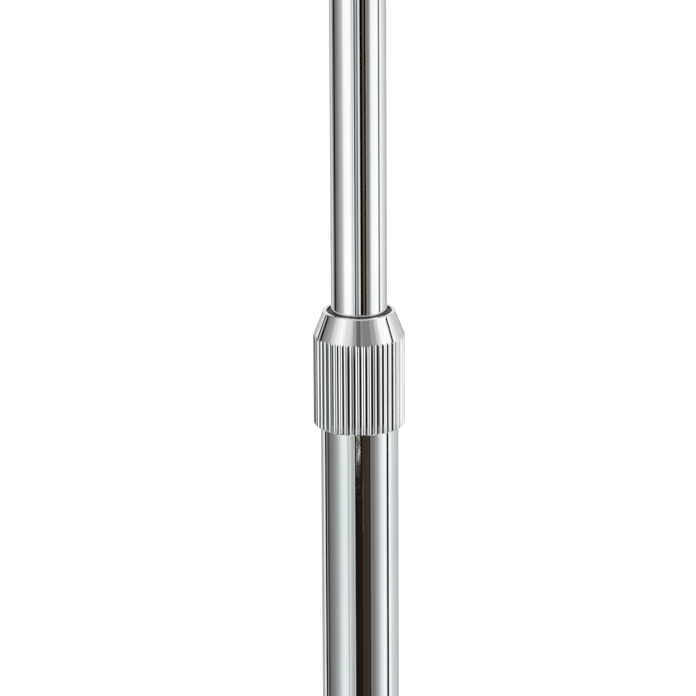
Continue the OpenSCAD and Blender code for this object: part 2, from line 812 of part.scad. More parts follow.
// Hub and arms that hang the shade on the stud
module shade_spider() {
    slant_rise = spider_drop - 2 * spider_bend * (1 - cos(spider_bend_angle));
    slant = slant_rise / sin(spider_bend_angle);
    start_r = spider_hub_r - 4;
    tip_r = ring_r(top_ring_z) - ring_wire_r - 0.05;
    bends = 2 * spider_bend * sin(spider_bend_angle) + slant * cos(spider_bend_angle);
    lead_in = 6;
    color("silver") {
        tube(stud_r + 0.2, spider_hub_r, spider_z, spider_hub_t);
        for (i = [1 : spider_arms])
            rotate(i * 360 / spider_arms - 30)
                translate([start_r, 0, spider_z + spider_hub_t / 2]) rotate([0, 90, 0])
                    wire(spider_wire_r, [[tip_r - start_r - bends - lead_in],
                        [spider_bend, -spider_bend_angle], [slant],
                        [spider_bend, spider_bend_angle], [lead_in]]);
    }
}

// One wire ring of the shade, at height z
module shade_ring(z) {
    color("silver") translate([0, 0, z]) rotate_extrude()
        translate([ring_r(z), 0]) circle(r = ring_wire_r);
}
module shade_top_ring() { shade_ring(top_ring_z); }
module shade_bottom_ring() { shade_ring(shade_z + ring_inset); }

// A tapered skin of the shade, from its outside inwards
module shade_skin(inset, t) {
    bottom_r = shade_bottom_d / 2 - inset;
    top_r = shade_top_d / 2 - inset;
    rotate_extrude() polygon([[bottom_r - t, shade_z], [bottom_r, shade_z],
        [top_r, shade_top_z], [top_r - t, shade_top_z]]);
}

// Woven skin of the shade
module shade_fabric() { color("ivory") shade_skin(0, fabric_t); }

// Stiff sheet that the fabric is laid on
module shade_liner() { color("white") shade_skin(fabric_t + skin_gap, liner_t); }

// Turned finial that holds the shade down
module finial() {
    foot_t = 2;
    ball_z = finial_h - finial_r;
    bore_h = stud_top_z - spider_z - spider_hub_t + 0.5;
    color("silver") translate([0, 0, spider_z + spider_hub_t]) difference() {
        rotate_extrude() intersection() {
            union() {
                square([finial_foot_r, foot_t]);
                square([finial_neck_r, ball_z]);
                translate([0, ball_z]) circle(r = finial_r);
            }
            square([finial_r + 1, finial_h + 1]);
        }
        translate([0, 0, -1]) cylinder(r = stud_r + snug, h = bore_h + 1);
    }
}

base_pad();
base_weight();
base_cover();
base_nipple();
base_washer();
base_nut();
cable_grommet();
pole_ferrule();
pole_foot_plug();
lower_tube();
neck_bushing();
clamp_collet();
slip_washer();
clamp_collar();
upper_tube();
guide_bush();
tube_top_plug();
top_nipple();
top_ferrule();
harp_saddle();
socket_cap();
socket_insulator();
terminal_screws();
screw_shell();
center_contact();
socket_liner();
socket_shell();
switch_shaft();
switch_knob();
harp();
harp_sleeve_left();
harp_sleeve_right();
harp_stud();
shade_spider();
shade_top_ring();
shade_bottom_ring();
shade_fabric();
shade_liner();
finial();
bulb_globe();
bulb_body();
bulb_cap();
bulb_insulator();
bulb_tip();
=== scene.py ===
import math

import bmesh
import bpy
from mathutils import Matrix, Vector


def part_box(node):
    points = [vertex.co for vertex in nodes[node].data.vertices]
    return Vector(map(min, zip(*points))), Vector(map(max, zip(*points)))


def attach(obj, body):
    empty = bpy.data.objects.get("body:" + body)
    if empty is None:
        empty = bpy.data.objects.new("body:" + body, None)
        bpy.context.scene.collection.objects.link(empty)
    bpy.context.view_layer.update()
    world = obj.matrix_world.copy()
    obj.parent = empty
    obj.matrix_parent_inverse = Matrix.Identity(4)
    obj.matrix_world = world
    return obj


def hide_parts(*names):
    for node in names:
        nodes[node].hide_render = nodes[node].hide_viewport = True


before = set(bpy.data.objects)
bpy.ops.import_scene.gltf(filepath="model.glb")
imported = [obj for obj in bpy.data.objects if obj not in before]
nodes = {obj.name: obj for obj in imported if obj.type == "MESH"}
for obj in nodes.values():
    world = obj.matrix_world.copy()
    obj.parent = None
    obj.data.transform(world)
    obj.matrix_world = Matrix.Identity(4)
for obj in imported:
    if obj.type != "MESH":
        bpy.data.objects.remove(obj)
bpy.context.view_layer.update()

mm = 0.001

# ---- Felt pad ----
# A disc of pressed wool felt glued under the weight, so the base doesn't mark the floor.
# It is the die-cut disc of the frame, dressed in a short, slightly matted pile.


def put(tree, kind, inputs=None, **settings):
    """One shading node with its settings. Each input is a plain value or another node's output."""
    made = tree.nodes.new("ShaderNode" + kind)
    for key, value in settings.items():
        setattr(made, key, value)
    for key, value in (inputs or {}).items():
        if isinstance(value, bpy.types.NodeSocket):
            tree.links.new(value, made.inputs[key])
        else:
            made.inputs[key].default_value = value
    return made


def place_on_piece(tree, stretch=(1, 1, 1), lathe=False):
    """The point on the piece in metres, or its radius and height where lathe is set."""
    point = put(tree, "TexCoord").outputs["Object"]
    if lathe:
        apart = put(tree, "SeparateXYZ", {"Vector": point})
        flat = put(tree, "VectorMath", {0: point, 1: (1, 1, 0)}, operation="MULTIPLY")
        radius = put(tree, "VectorMath", {0: flat.outputs[0]}, operation="LENGTH")
        point = put(tree, "CombineXYZ", {"X": radius.outputs["Value"], "Z": apart.outputs["Z"]}).outputs[0]
    return put(tree, "Mapping", {"Vector": point, "Scale": stretch}).outputs[0]


def cloudy(tree, point, size, detail=3.0, rough=0.55):
    """A soft random value from 0 to 1 whose patches are about size millimetres across."""
    return put(tree, "TexNoise",
               {"Vector": point, "Scale": 1 / (size * mm), "Detail": detail, "Roughness": rough}).outputs[0]


def raise_surface(finish, height_map, height):
    """Adds a relief of height millimetres to a finish, on top of what it has."""
    tree = finish.node_tree
    normal = tree.nodes["Principled BSDF"].inputs["Normal"]
    bump = put(tree, "Bump", {"Height": height_map, "Distance": height * mm})
    if normal.is_linked:
        tree.links.new(normal.links[0].from_socket, bump.inputs["Normal"])
    tree.links.new(bump.outputs["Normal"], normal)


def run_tones(tree, value, tones, start, end):
    """Colours a finish from one tone to the other as value goes from start to end."""
    ramp = put(tree, "ValToRGB", {"Fac": value})
    for stop, at, tone in zip(ramp.color_ramp.elements, (start, end), tones):
        stop.position = at
        stop.color = (*tone, 1)
    tree.links.new(ramp.outputs["Color"], tree.nodes["Principled BSDF"].inputs["Base Color"])


def make_finish(name, tones, patch, roughness, grain, height, stretch=(1, 1, 1), lathe=False, **sockets):
    """A finish from its two tones and the size of their patches, its span of roughness, and its grain.

    Sizes are in millimetres. Numbers in sockets go on the shader's own sockets.
    """
    finish = bpy.data.materials.new(name)
    finish.use_nodes = True
    tree = finish.node_tree
    shader = tree.nodes["Principled BSDF"]
    for socket, value in sockets.items():
        shader.inputs[socket.replace("_", " ")].default_value = value
    plain = place_on_piece(tree)
    run_tones(tree, cloudy(tree, plain, patch), tones, 0.35, 0.65)
    worn = put(tree, "MapRange",
               {"Value": cloudy(tree, plain, patch * 0.6, detail=5.0), "From Min": 0.3, "From Max": 0.7,
                "To Min": roughness[0], "To Max": roughness[1]})
    tree.links.new(worn.outputs["Result"], shader.inputs["Roughness"])
    raise_surface(finish, cloudy(tree, place_on_piece(tree, stretch, lathe), grain), height)
    return finish


def dress(finish, *names):
    """Gives frame nodes whose shape is right their finish."""
    for name in names:
        nodes[name].data.materials.clear()
        nodes[name].data.materials.append(finish)


felt_tones = ((0.022, 0.022, 0.024), (0.05, 0.05, 0.052))
wool_felt = make_finish("wool_felt", felt_tones, 1.6, (0.85, 1.0), 0.5, 0.25, Sheen_Weight=0.35,
                        Sheen_Roughness=0.6)
dress(wool_felt, "base_pad")

# ---- Weight ----
# A grey iron casting that keeps the lamp upright, left as cast under a thin dark paint.
# Its skin carries the grain of the sand mould.
iron_tones = ((0.045, 0.046, 0.048), (0.09, 0.09, 0.092))
cast_iron = make_finish("painted_cast_iron", iron_tones, 14, (0.5, 0.75), 0.9, 0.12)
dress(cast_iron, "base_weight")

# ---- Base fastening ----
# A length of M10 threaded tube, a stamped washer and a hex nut clamp the weight, the cover
# and the pole together. All three are steel with a bright zinc plate.


def cut_thread(finish, pitch, depth):
    """Adds the rings of a fine thread to a finish."""
    tree = finish.node_tree
    rings = put(tree, "TexWave",
                {"Vector": place_on_piece(tree), "Scale": math.pi / 10 / (pitch * mm)},
                wave_type="BANDS", bands_direction="Z", wave_profile="SIN")
    raise_surface(finish, rings.outputs["Fac"], depth)


zinc = ((0.56, 0.58, 0.61), (0.68, 0.69, 0.70))
zinc_plate = make_finish("bright_zinc_plate", zinc, 2.5, (0.26, 0.44), 0.35, 0.012, Metallic=1.0)
threaded_zinc = make_finish("threaded_zinc_tube", zinc, 2.5, (0.28, 0.46), 0.35, 0.01, Metallic=1.0)
cut_thread(threaded_zinc, 1.0, 0.5)
dress(threaded_zinc, "base_nipple", "top_nipple")
dress(zinc_plate, "base_washer", "base_nut")

# ---- Base cover ----
# A disc of 1 mm steel spun over a former into a shallow dish, then polished and chromed.
# The hub under the pole is flat; the rim turns down over the weight.
cover_r = 140.0
cover_top = 22.0
cover_edge = 6.0
cover_sheet = 1.0
cover_foot = 2.5
hub_r = 32.0
hub_top = 27.0
hub_bore_r = 5.1
outlet_z = 9.25
outlet_r = 4.6


def spaced(start, end, count):
    """Values at even steps from start to end."""
    return [start + (end - start) * i / count for i in range(count + 1)]


def rounded(centre, radii, start, end, count=8):
    """Points of an arc or an ellipse's part, from angle start to end in degrees."""
    turn = [math.radians(angle) for angle in spaced(start, end, count)]
    return [(centre[0] + radii[0] * math.cos(a), centre[1] + radii[1] * math.sin(a)) for a in turn]


def ease_edges(bm, width, segments=3, over=28):
    """Rounds the edges that turn more sharply than over degrees."""
    sharp = [e for e in bm.edges if len(e.link_faces) == 2 and e.calc_face_angle(0) > math.radians(over)]
    if width and sharp:
        bmesh.ops.bevel(bm, geom=sharp, offset=width * mm, offset_type="OFFSET", segments=segments,
                        profile=0.5, affect="EDGES", clamp_overlap=True, material=-1)


def spin_outline(outline, steps, base=0, closed=True):
    """Spins an outline round the pole's axis. It is radii and heights over base, in millimetres."""
    bm = bmesh.new()
    corners = [bm.verts.new((r * mm, 0, (h + base) * mm)) for r, h in outline]
    ahead = corners[1:] + corners[:1] if closed else corners[1:]
    edges = [bm.edges.new(pair) for pair in zip(corners, ahead)]
    bmesh.ops.spin(bm, geom=corners + edges, cent=(0, 0, 0), axis=(0, 0, 1), angle=math.tau, steps=steps,
                   use_merge=True)
    bmesh.ops.remove_doubles(bm, verts=bm.verts, dist=1e-6)
    bmesh.ops.recalc_face_normals(bm, faces=bm.faces)
    return bm


def lift_out(bm, name, finish):
    """Makes an object of the shape in bm, in its finish."""
    mesh = bpy.data.meshes.new(name)
    bm.to_mesh(mesh)
    bm.free()
    mesh.materials.append(finish)
    made = bpy.data.objects.new(name, mesh)
    bpy.context.scene.collection.objects.link(made)
    return made


def finish_piece(bm, name, finish, smooth_under=30):
    """Makes the piece's object, smooth but for edges sharper than smooth_under degrees."""
    piece = lift_out(bm, name, finish)
    piece.data.shade_smooth()
    piece.data.set_sharp_from_angle(angle=math.radians(smooth_under))
    even = piece.modifiers.new("even_normals", "WEIGHTED_NORMAL")
    even.keep_sharp = True
    return piece


def turned(name, outline, finish, base=0, ease=0.2, steps=128, where=None, closed=True):
    """A piece turned on a lathe, its edges rounded by ease, and moved by the matrix where."""
    bm = spin_outline(outline, steps, base, closed)
    ease_edges(bm, ease)
    if where is not None:
        bmesh.ops.transform(bm, matrix=where, verts=bm.verts)
    return finish_piece(bm, name, finish)


def pierce(bm, side, height, reach, hole_r):
    """Opens a round hole along Y in a turned wall, on the side of +Y or -Y.

    The faces within reach are cut away, their edge is drawn to the circle, and the sheet's two
    skins are joined.
    """
    centre = Vector((0, 0, height * mm))

    def cut(face):
        middle = face.calc_center_median()
        return middle.y * side > 0 and max(abs(middle.x), abs(middle.z - centre.z)) < reach * mm

    bmesh.ops.delete(bm, geom=[f for f in bm.faces if cut(f)], context="FACES")
    rim = [e for e in bm.edges if e.is_boundary]
    for vert in {v for e in rim for v in e.verts}:
        wall_r = math.hypot(vert.co.x, vert.co.y)
        off = (vert.co - centre) * Vector((1, 0, 1))
        off *= hole_r * mm / off.length
        vert.co = (off.x, side * math.sqrt(wall_r ** 2 - off.x ** 2), centre.z + off.z)
    bmesh.ops.bridge_loops(bm, edges=rim)
    bmesh.ops.recalc_face_normals(bm, faces=bm.faces)


chrome_tones = ((0.80, 0.81, 0.82), (0.83, 0.835, 0.84))
spun_chrome = make_finish("spun_chrome", chrome_tones, 30, (0.03, 0.07), 0.5, 0.0016, lathe=True,
                          Metallic=1.0)
dents = cloudy(spun_chrome.node_tree, place_on_piece(spun_chrome.node_tree), 22, detail=2.0)
raise_surface(spun_chrome, dents, 0.06)
hub_skin = [(hub_bore_r, hub_top), (hub_r - 3, hub_top), (hub_r, hub_top - 0.1), (hub_r + 3, hub_top - 0.25)]
outlet_rows = spaced(outlet_z + 4.7, outlet_z - 4.7, 4)
inner_r = cover_r - cover_sheet
corner = (cover_r - cover_edge, cover_top - cover_edge)
inside_edge = cover_edge - cover_sheet
cover_outline = (
    hub_skin
    + rounded(corner, (cover_edge, cover_edge), 88, 0, 10)
    + [(cover_r, h) for h in outlet_rows]
    + [(cover_r, cover_foot + 0.4), (cover_r - 0.3, cover_foot)]
    + [(inner_r + 0.3, cover_foot), (inner_r, cover_foot + 0.4)]
    + [(inner_r, h) for h in reversed(outlet_rows)]
    + rounded(corner, (inside_edge, inside_edge), 0, 88, 8)
    + [(r, h - cover_sheet) for r, h in reversed(hub_skin)])
bm = spin_outline(cover_outline, 192)
pierce(bm, 1, outlet_z, outlet_r, outlet_r)
base_cover = finish_piece(bm, "chromed_base_cover", spun_chrome)
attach(base_cover, "pole")
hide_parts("base_cover")

# ---- Cable grommet ----
# A soft rubber ring snapped in the cover's wall, with a flange on each side of the sheet.
# The flex would leave the base through its bore.
rubber_tones = ((0.016, 0.016, 0.016), (0.026, 0.026, 0.027))
rubber = make_finish("black_rubber", rubber_tones, 3, (0.5, 0.7), 0.25, 0.02)
bore_r = 3.0
neck_r = 4.25
flange_r = 5.5
flange_t = 1.2
wall_in = inner_r - 0.14
wall_out = cover_r + 0.03
grommet_outline = [
    (bore_r, wall_in - flange_t), (flange_r, wall_in - flange_t), (flange_r, wall_in), (neck_r, wall_in),
    (neck_r, wall_out), (flange_r, wall_out), (flange_r, wall_out + flange_t), (bore_r, wall_out + flange_t)]
out_of_the_back = Matrix.Translation((0, 0, outlet_z * mm)) @ Matrix.Rotation(-math.pi / 2, 4, "X")
grommet = turned("rubber_cable_grommet", grommet_outline, rubber, ease=0.45, steps=64,
                 where=out_of_the_back)
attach(grommet, "pole")
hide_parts("cable_grommet")

# ---- Foot of the pole ----
# A ferrule turned from steel bar, waisted like a trumpet's bell and chromed, hides the joint
# of tube and cover. Inside it, a tapped steel plug is welded in the tube's foot.
turned_chrome = make_finish("turned_chrome", chrome_tones, 12, (0.03, 0.07), 0.22, 0.0008, lathe=True,
                            Metallic=1.0)
foot_z = hub_top
ferrule_bore_r = 12.6
ferrule_r = 21.0
ferrule_h = 18.0
waist_r = 15.5
bell = (6.5, 12)
foot_outline = (
    [(ferrule_bore_r, 0), (ferrule_r, 0)]
    + rounded((waist_r + bell[0], ferrule_h - 3), bell, 261, 180, 18)
    + [(waist_r, ferrule_h - 1), (waist_r - 1, ferrule_h), (ferrule_bore_r, ferrule_h)])
pole_ferrule = turned("chromed_foot_ferrule", foot_outline, turned_chrome, foot_z, ease=0.25, steps=160)
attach(pole_ferrule, "pole")
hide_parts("pole_ferrule")
dress(zinc_plate, "pole_foot_plug")

# ---- Lower tube ----
# The outer, fixed part of the pole: 25 mm welded steel tube, drawn, polished along its length
# and chromed. The polishing leaves faint lines along the tube.


def tube_outline(outer_r, wall, length):
    """A tube's closed outline, in millimetres."""
    return [(outer_r - wall, 0), (outer_r, 0), (outer_r, length), (outer_r - wall, length)]


along_tube = (1, 1, 0.02)
drawn_chrome = make_finish("drawn_chrome", chrome_tones, 25, (0.02, 0.05), 0.5, 0.0008, along_tube,
                           Metallic=1.0)
tree = drawn_chrome.node_tree
raise_surface(drawn_chrome, cloudy(tree, place_on_piece(tree, (1, 1, 0.35)), 5, detail=2.0), 0.006)
lower_r = 12.5
lower_wall = 1.2
lower_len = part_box("lower_tube")[1].z / mm - foot_z
lower_outline = tube_outline(lower_r, lower_wall, lower_len)
lower_tube = turned("chromed_lower_tube", lower_outline, drawn_chrome, foot_z, ease=0.3, steps=256)
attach(lower_tube, "pole")
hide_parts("lower_tube")

# ---- Neck bushing and collet ----
# A zinc-plated steel bushing is pressed in the tube's mouth; its neck carries the collar's
# thread and the conical seat of the collet. The collet is moulded in nylon with six slots; its
# finish here is given nearly black tones.
dress(threaded_zinc, "neck_bushing")
nylon_tones = ((0.018, 0.018, 0.019), (0.030, 0.030, 0.031))
grey_nylon = make_finish("grey_nylon", nylon_tones, 2.5, (0.35, 0.55), 0.3, 0.01,
                         Specular_IOR_Level=0.3)
dress(grey_nylon, "clamp_collet")

# ---- Slip washer ----
# A washer stamped from brass sheet lies between the turning collar and the still collet. It
# keeps the collar from dragging the collet round.
brass_tones = ((0.62, 0.42, 0.17), (0.80, 0.60, 0.28))
plain_brass = make_finish("plain_brass", brass_tones, 3, (0.18, 0.38), 0.25, 0.008, Metallic=1.0)
dress(plain_brass, "slip_washer")

# ---- Clamp collar ----
# Turned from bar, with 52 shallow flutes for the fingers, a coned shoulder and a narrow rim,
# then polished and chromed. A turn of it presses the collet on the upper tube or lets it go.
collar_z, collar_top = (corner.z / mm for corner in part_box("clamp_collar"))
collar_h = collar_top - collar_z
crest_r = 14.75
cone_h = 8.5
flute_top = collar_h - cone_h
flutes = 52
flute_depth = 0.3
flute_share = 0.84
flute_turn = math.radians(1.5)
rim_r = 11.6
rim_bore_r = 10.4
skirt_r = 12.75
skirt_h = 19.4
thread_r = 11.08
shoulder_h = 33.4
chamfer = 0.5
crest_ease = 0.06
arch_ease = 0.03
# Where the columns of one flute stand, as shares of the pitch from the middle of a crest
columns = (0, 0.055, 0.075, 0.095, 0.13, 0.20, 0.29, 0.39, 0.5, 0.61, 0.71, 0.80, 0.87, 0.905, 0.925, 0.945)
cone_fall = cone_h / (crest_r - rim_r)
collar_outline = (
    [(skirt_r + 0.3, 0), (skirt_r, 0.3), (skirt_r, skirt_h), (thread_r, skirt_h), (thread_r, shoulder_h)]
    + [(rim_bore_r, shoulder_h), (rim_bore_r, collar_h - 0.4), (rim_bore_r, collar_h - 0.3),
       (rim_bore_r + 0.03, collar_h - 0.2), (rim_bore_r + 0.2, collar_h - 0.03),
       (rim_bore_r + 0.3, collar_h), (rim_bore_r + 0.4, collar_h)]
    + [(rim_r - 0.36, collar_h), (rim_r - 0.2, collar_h - 0.02), (rim_r - 0.07, collar_h - 0.12),
       (rim_r + 0.03, collar_h - 0.25), (rim_r + 0.12, collar_h - 0.12 - 0.25 * cone_fall)]
    + [(crest_r - crest_ease, flute_top + crest_ease * cone_fall), (crest_r, flute_top)]
    + [(crest_r, chamfer), (crest_r - chamfer, 0)])
bm = spin_outline(collar_outline, flutes * len(columns), collar_z)
pitch = math.tau / flutes
half_flute = pitch / 2 * flute_share
floor_r = crest_r - flute_depth
edge_x = crest_r * math.cos(half_flute)
cutter_r = (crest_r ** 2 + floor_r ** 2 - 2 * floor_r * edge_x) / (2 * (edge_x - floor_r))
centre_r = floor_r + cutter_r
# Only the crest's cylinder, its chamfer and the cone's foot are cut, and their points move to the columns
for vert in bm.verts:
    r = math.hypot(vert.co.x, vert.co.y) / mm
    h = vert.co.z / mm - collar_z
    if r < crest_r - chamfer - 0.1:
        continue
    step = round(math.atan2(vert.co.y, vert.co.x) / pitch * len(columns)) % (flutes * len(columns))
    crest, column = divmod(step, len(columns))
    angle = (crest + columns[column]) * pitch
    off = abs(columns[column] - 0.5) * pitch
    cut_r = crest_r
    if off < half_flute:
        cut_r = centre_r * math.cos(off) - math.sqrt(cutter_r ** 2 - (centre_r * math.sin(off)) ** 2)
    if r > crest_r - 0.1 and h > chamfer / 2:
        fall = crest_r - cut_r
        if h > flute_top / 2:
            h, r = flute_top + max(fall, crest_r - r) * cone_fall, min(r, cut_r)
            if abs(vert.co.z / mm - collar_z - flute_top) > 0.01:
                h, r = h + arch_ease * cone_fall, r - arch_ease
        else:
            h, r = chamfer - fall, cut_r
    vert.co = (r * mm * math.cos(angle), r * mm * math.sin(angle), (h + collar_z) * mm)
bmesh.ops.rotate(bm, verts=bm.verts, matrix=Matrix.Rotation(pitch / 2 + flute_turn, 3, "Z"))
bright_chrome = make_finish("bright_turned_chrome", chrome_tones, 12, (0.005, 0.03), 0.22, 0.0003,
                            lathe=True, Metallic=1.0)
clamp_collar = finish_piece(bm, "fluted_clamp_collar", bright_chrome, 24)
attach(clamp_collar, "collar")
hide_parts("clamp_collar")

# ---- Upper tube ----
# The inner, sliding part of the pole: 18 mm tube, finished as the lower one. A white nylon bush
# on its foot runs in the lower tube, and a tapped steel plug closes its head.
upper_r = 9.0
upper_wall = 1.0
upper_foot, upper_top = (corner.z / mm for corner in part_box("upper_tube"))
upper_outline = tube_outline(upper_r, upper_wall, upper_top - upper_foot)
upper_tube = turned("chromed_upper_tube", upper_outline, drawn_chrome, upper_foot, ease=0.25, steps=256)
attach(upper_tube, "mast")
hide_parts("upper_tube")
bush_tones = ((0.74, 0.74, 0.70), (0.80, 0.80, 0.77))
white_nylon = make_finish("white_nylon", bush_tones, 6, (0.35, 0.5), 0.4, 0.01)
dress(white_nylon, "guide_bush")
dress(zinc_plate, "tube_top_plug")

# ---- Top ferrule ----
# A cap turned from steel bar and chromed, which closes the upper tube under the lampholder. Its
# short coned skirt slips over the tube's end, and the nipple screws through it.
tapped_r = 4.93
brim_r = 13.0
brim_t = 5.0
brim_edge = 1.5
cap_bore_r = 9.1
cap_foot_r = 10.4
cap_foot = -8.0
cap_outline = (
    [(tapped_r, 0), (cap_bore_r, 0), (cap_bore_r, cap_foot), (cap_foot_r, cap_foot), (brim_r, 0)]
    + rounded((brim_r - brim_edge, brim_t - brim_edge), (brim_edge, brim_edge), 0, 90, 6)
    + [(tapped_r, brim_t)])
top_ferrule = turned("chromed_top_ferrule", cap_outline, turned_chrome, upper_top)
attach(top_ferrule, "mast")
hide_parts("top_ferrule")

# ---- Harp saddle ----
# A steel strip stamped with a round eye, bent up on both sides and nickel plated. The nipple
# clamps it, and its two tongues stand inside the harp's feet and sleeves.
nickel_tones = ((0.60, 0.57, 0.53), (0.68, 0.65, 0.60))
nickel_plate = make_finish("nickel_plate", nickel_tones, 9, (0.16, 0.30), 0.4, 0.004, Metallic=1.0)
saddle_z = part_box("harp_saddle")[0].z / mm
strip_t = 1.4
strip_w = 11.0
eye_r = 11.0
bend_r = 5.0
flat_x = 14.0
slope = 55.0
tongue_x = 28.4
tongue_size = Vector((1.2, 5.0, 13.0))
sleeve_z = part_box("harp_sleeve_left")[0].z / mm
bm = bmesh.new()
first = (flat_x, saddle_z + strip_t / 2 + bend_r)
run = tongue_x - flat_x - bend_r
second = (flat_x + run, first[1] + run * math.tan(math.radians(slope)))
outer = bend_r + strip_t / 2
inner = bend_r - strip_t / 2
half_strip = (rounded(first, (outer, outer), -90, slope - 90, 10)
              + rounded(second, (outer, outer), slope - 90, 0, 10)
              + [(tongue_x + strip_t / 2, sleeve_z), (tongue_x - strip_t / 2, sleeve_z)]
              + rounded(second, (inner, inner), 0, slope - 90, 10)
              + rounded(first, (inner, inner), slope - 90, -90, 10))
strip = half_strip + [(-x, z) for x, z in reversed(half_strip)]
side_face = bm.faces.new([bm.verts.new((x * mm, -strip_w / 2 * mm, z * mm)) for x, z in strip])
drawn = bmesh.ops.extrude_face_region(bm, geom=[side_face])["geom"]
far_side = [v for v in drawn if isinstance(v, bmesh.types.BMVert)]
bmesh.ops.translate(bm, vec=(0, strip_w * mm, 0), verts=far_side)
bmesh.ops.create_cone(bm, cap_ends=True, segments=72, radius1=eye_r * mm, radius2=eye_r * mm,
                      depth=strip_t * mm,
                      matrix=Matrix.Translation((0, 0, (saddle_z + strip_t / 2) * mm)))
for side in (-1, 1):
    middle = Vector((side * tongue_x, 0, sleeve_z - 1 + tongue_size.z / 2))
    bmesh.ops.create_cube(bm, size=1, matrix=Matrix.LocRotScale(middle * mm, None, tongue_size * mm))
bmesh.ops.recalc_face_normals(bm, faces=bm.faces)
ease_edges(bm, 0.22, 2, 40)
harp_saddle = finish_piece(bm, "nickelled_harp_saddle", nickel_plate)
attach(harp_saddle, "mast")
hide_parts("harp_saddle")

# ---- Lampholder ----
# A cap and a shell drawn from thin brass sheet and nickel plated snap together round a moulded
# switch body, which carries the brass screw shell. A sleeve of grey board lines the shell.
cap_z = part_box("socket_cap")[0].z / mm
cap_sheet = 0.6
cap_h = 15.0
bowl_r = 17.5
bowl_h = 12.0
bowl_foot_r = 8.5
boss_r = 7.5
boss_h = 6.6
inner_foot_r = bowl_foot_r - cap_sheet
inner_bowl = (bowl_r - cap_sheet, bowl_h - cap_sheet)
bowl_start = math.degrees(math.asin(bowl_foot_r / bowl_r)) - 90
inner_start = math.degrees(math.asin(inner_foot_r / inner_bowl[0])) - 90
dish_outline = (
    [(tapped_r, 0), (bowl_foot_r, 0)]
    + rounded((0, cap_h), (bowl_r, bowl_h), bowl_start, 0, 14)
    + rounded((0, cap_h + cap_sheet), inner_bowl, -3, inner_start, 14)
    + [(inner_foot_r, cap_sheet), (boss_r, cap_sheet), (boss_r, boss_h), (tapped_r, boss_h)])
socket_cap = turned("nickelled_socket_cap", dish_outline, nickel_plate, cap_z, ease=0.15)
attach(socket_cap, "mast")
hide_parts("socket_cap")

phenolic_tones = ((0.018, 0.010, 0.007), (0.035, 0.021, 0.014))
phenolic = make_finish("moulded_phenolic", phenolic_tones, 4, (0.25, 0.42), 0.5, 0.012)
dress(phenolic, "socket_insulator")
dress(plain_brass, "terminal_screws", "center_contact")

knob_low, knob_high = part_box("switch_knob")
shaft_z = (knob_low.z + knob_high.z) / 2 / mm
shell_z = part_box("socket_shell")[0].z / mm
shell_h = 43.0
shell_r = 17.2
shell_bore_r = 16.6
bead = 0.5
shaft_rows = [h - shell_z for h in spaced(shaft_z - 3.36, shaft_z + 3.36, 12)]
shell_outline = (
    [(shell_bore_r, 0), (shell_r + bead / 2, 0)]
    + rounded((shell_r, 1), (bead, 1), -60, 90, 6)
    + [(shell_r, h) for h in shaft_rows] + [(shell_r, shell_h - 1.4)]
    + rounded((shell_r, shell_h - 0.6), (bead, 0.6), -90, 90, 6)
    + [(shell_bore_r + 0.1, shell_h), (shell_bore_r, shell_h - 0.1)]
    + [(shell_bore_r, h) for h in reversed(shaft_rows)])
bm = spin_outline(shell_outline, 192, shell_z)
pierce(bm, -1, shaft_z, 2.6, 2.8)
socket_shell = finish_piece(bm, "nickelled_socket_shell", nickel_plate)
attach(socket_shell, "mast")
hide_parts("socket_shell")

# The screw shell is rolled from brass with the round thread of the lamp cap that it takes
cap_pitch = 3.63


def roll_thread(bm, low, high, depth):
    """Draws a turned wall inwards along a round thread between two heights, in millimetres."""
    for vert in bm.verts:
        h = vert.co.z / mm
        fade = min(1, max(0, (h - low) / 2)) * min(1, max(0, (high - h) / 2))
        wave = 0.5 - 0.5 * math.cos(math.tau * h / cap_pitch - math.atan2(vert.co.y, vert.co.x))
        r = math.hypot(vert.co.x, vert.co.y)
        if r > 12 * mm and fade:
            vert.co.xy *= 1 - depth * mm * wave * fade / r


screw_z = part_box("screw_shell")[0].z / mm
screw_len = 23.0
screw_r = 13.85
screw_bore_r = 13.35
floor_t = 0.6
floor_hole_r = 8.0
wall_rows = spaced(0.8, screw_len, 48)
screw_outline = (
    [(floor_hole_r, 0), (screw_r - 0.45, 0), (screw_r, 0.45)]
    + [(screw_r, h) for h in wall_rows] + [(screw_bore_r, h) for h in reversed(wall_rows)]
    + [(screw_bore_r, floor_t), (floor_hole_r, floor_t)])
bm = spin_outline(screw_outline, 96, screw_z)
roll_thread(bm, screw_z + 1, screw_z + screw_len, 0.22)
screw_shell = finish_piece(bm, "brass_screw_shell", plain_brass, 50)
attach(screw_shell, "mast")
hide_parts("screw_shell")

board_tones = ((0.30, 0.27, 0.22), (0.40, 0.36, 0.30))
board = make_finish("grey_board", board_tones, 1.2, (0.8, 0.95), 0.25, 0.03, stretch=(1, 1, 0.3))
dress(board, "socket_liner")

# ---- Rotary switch ----
# A brass shaft comes out of the lampholder's front and carries a moulded black knob with
# sixteen finger grooves.
dress(plain_brass, "switch_shaft")
knob_tones = ((0.012, 0.012, 0.013), (0.02, 0.02, 0.021))
black_plastic = make_finish("black_moulding", knob_tones, 5, (0.28, 0.42), 0.18, 0.008)
knob_len = 11.0
knob_r = 6.5
knob_edge = 1.2
knob_bore_r = 2.03
knob_bore = 10.0
knob_back = -18.4
grooves = 16
groove_start = 1.8
groove_depth = 0.5
knob_outline = (
    [(knob_bore_r, 0), (knob_r - 0.4, 0), (knob_r, 0.4), (knob_r, 1.6), (knob_r, 2.2)]
    + rounded((knob_r - knob_edge, knob_len - knob_edge), (knob_edge, knob_edge), 0, 90, 6)
    + [(2.5, knob_len), (0, knob_len - 0.15), (0, knob_bore), (knob_bore_r, knob_bore)])
bm = spin_outline(knob_outline, grooves * 10, closed=False)
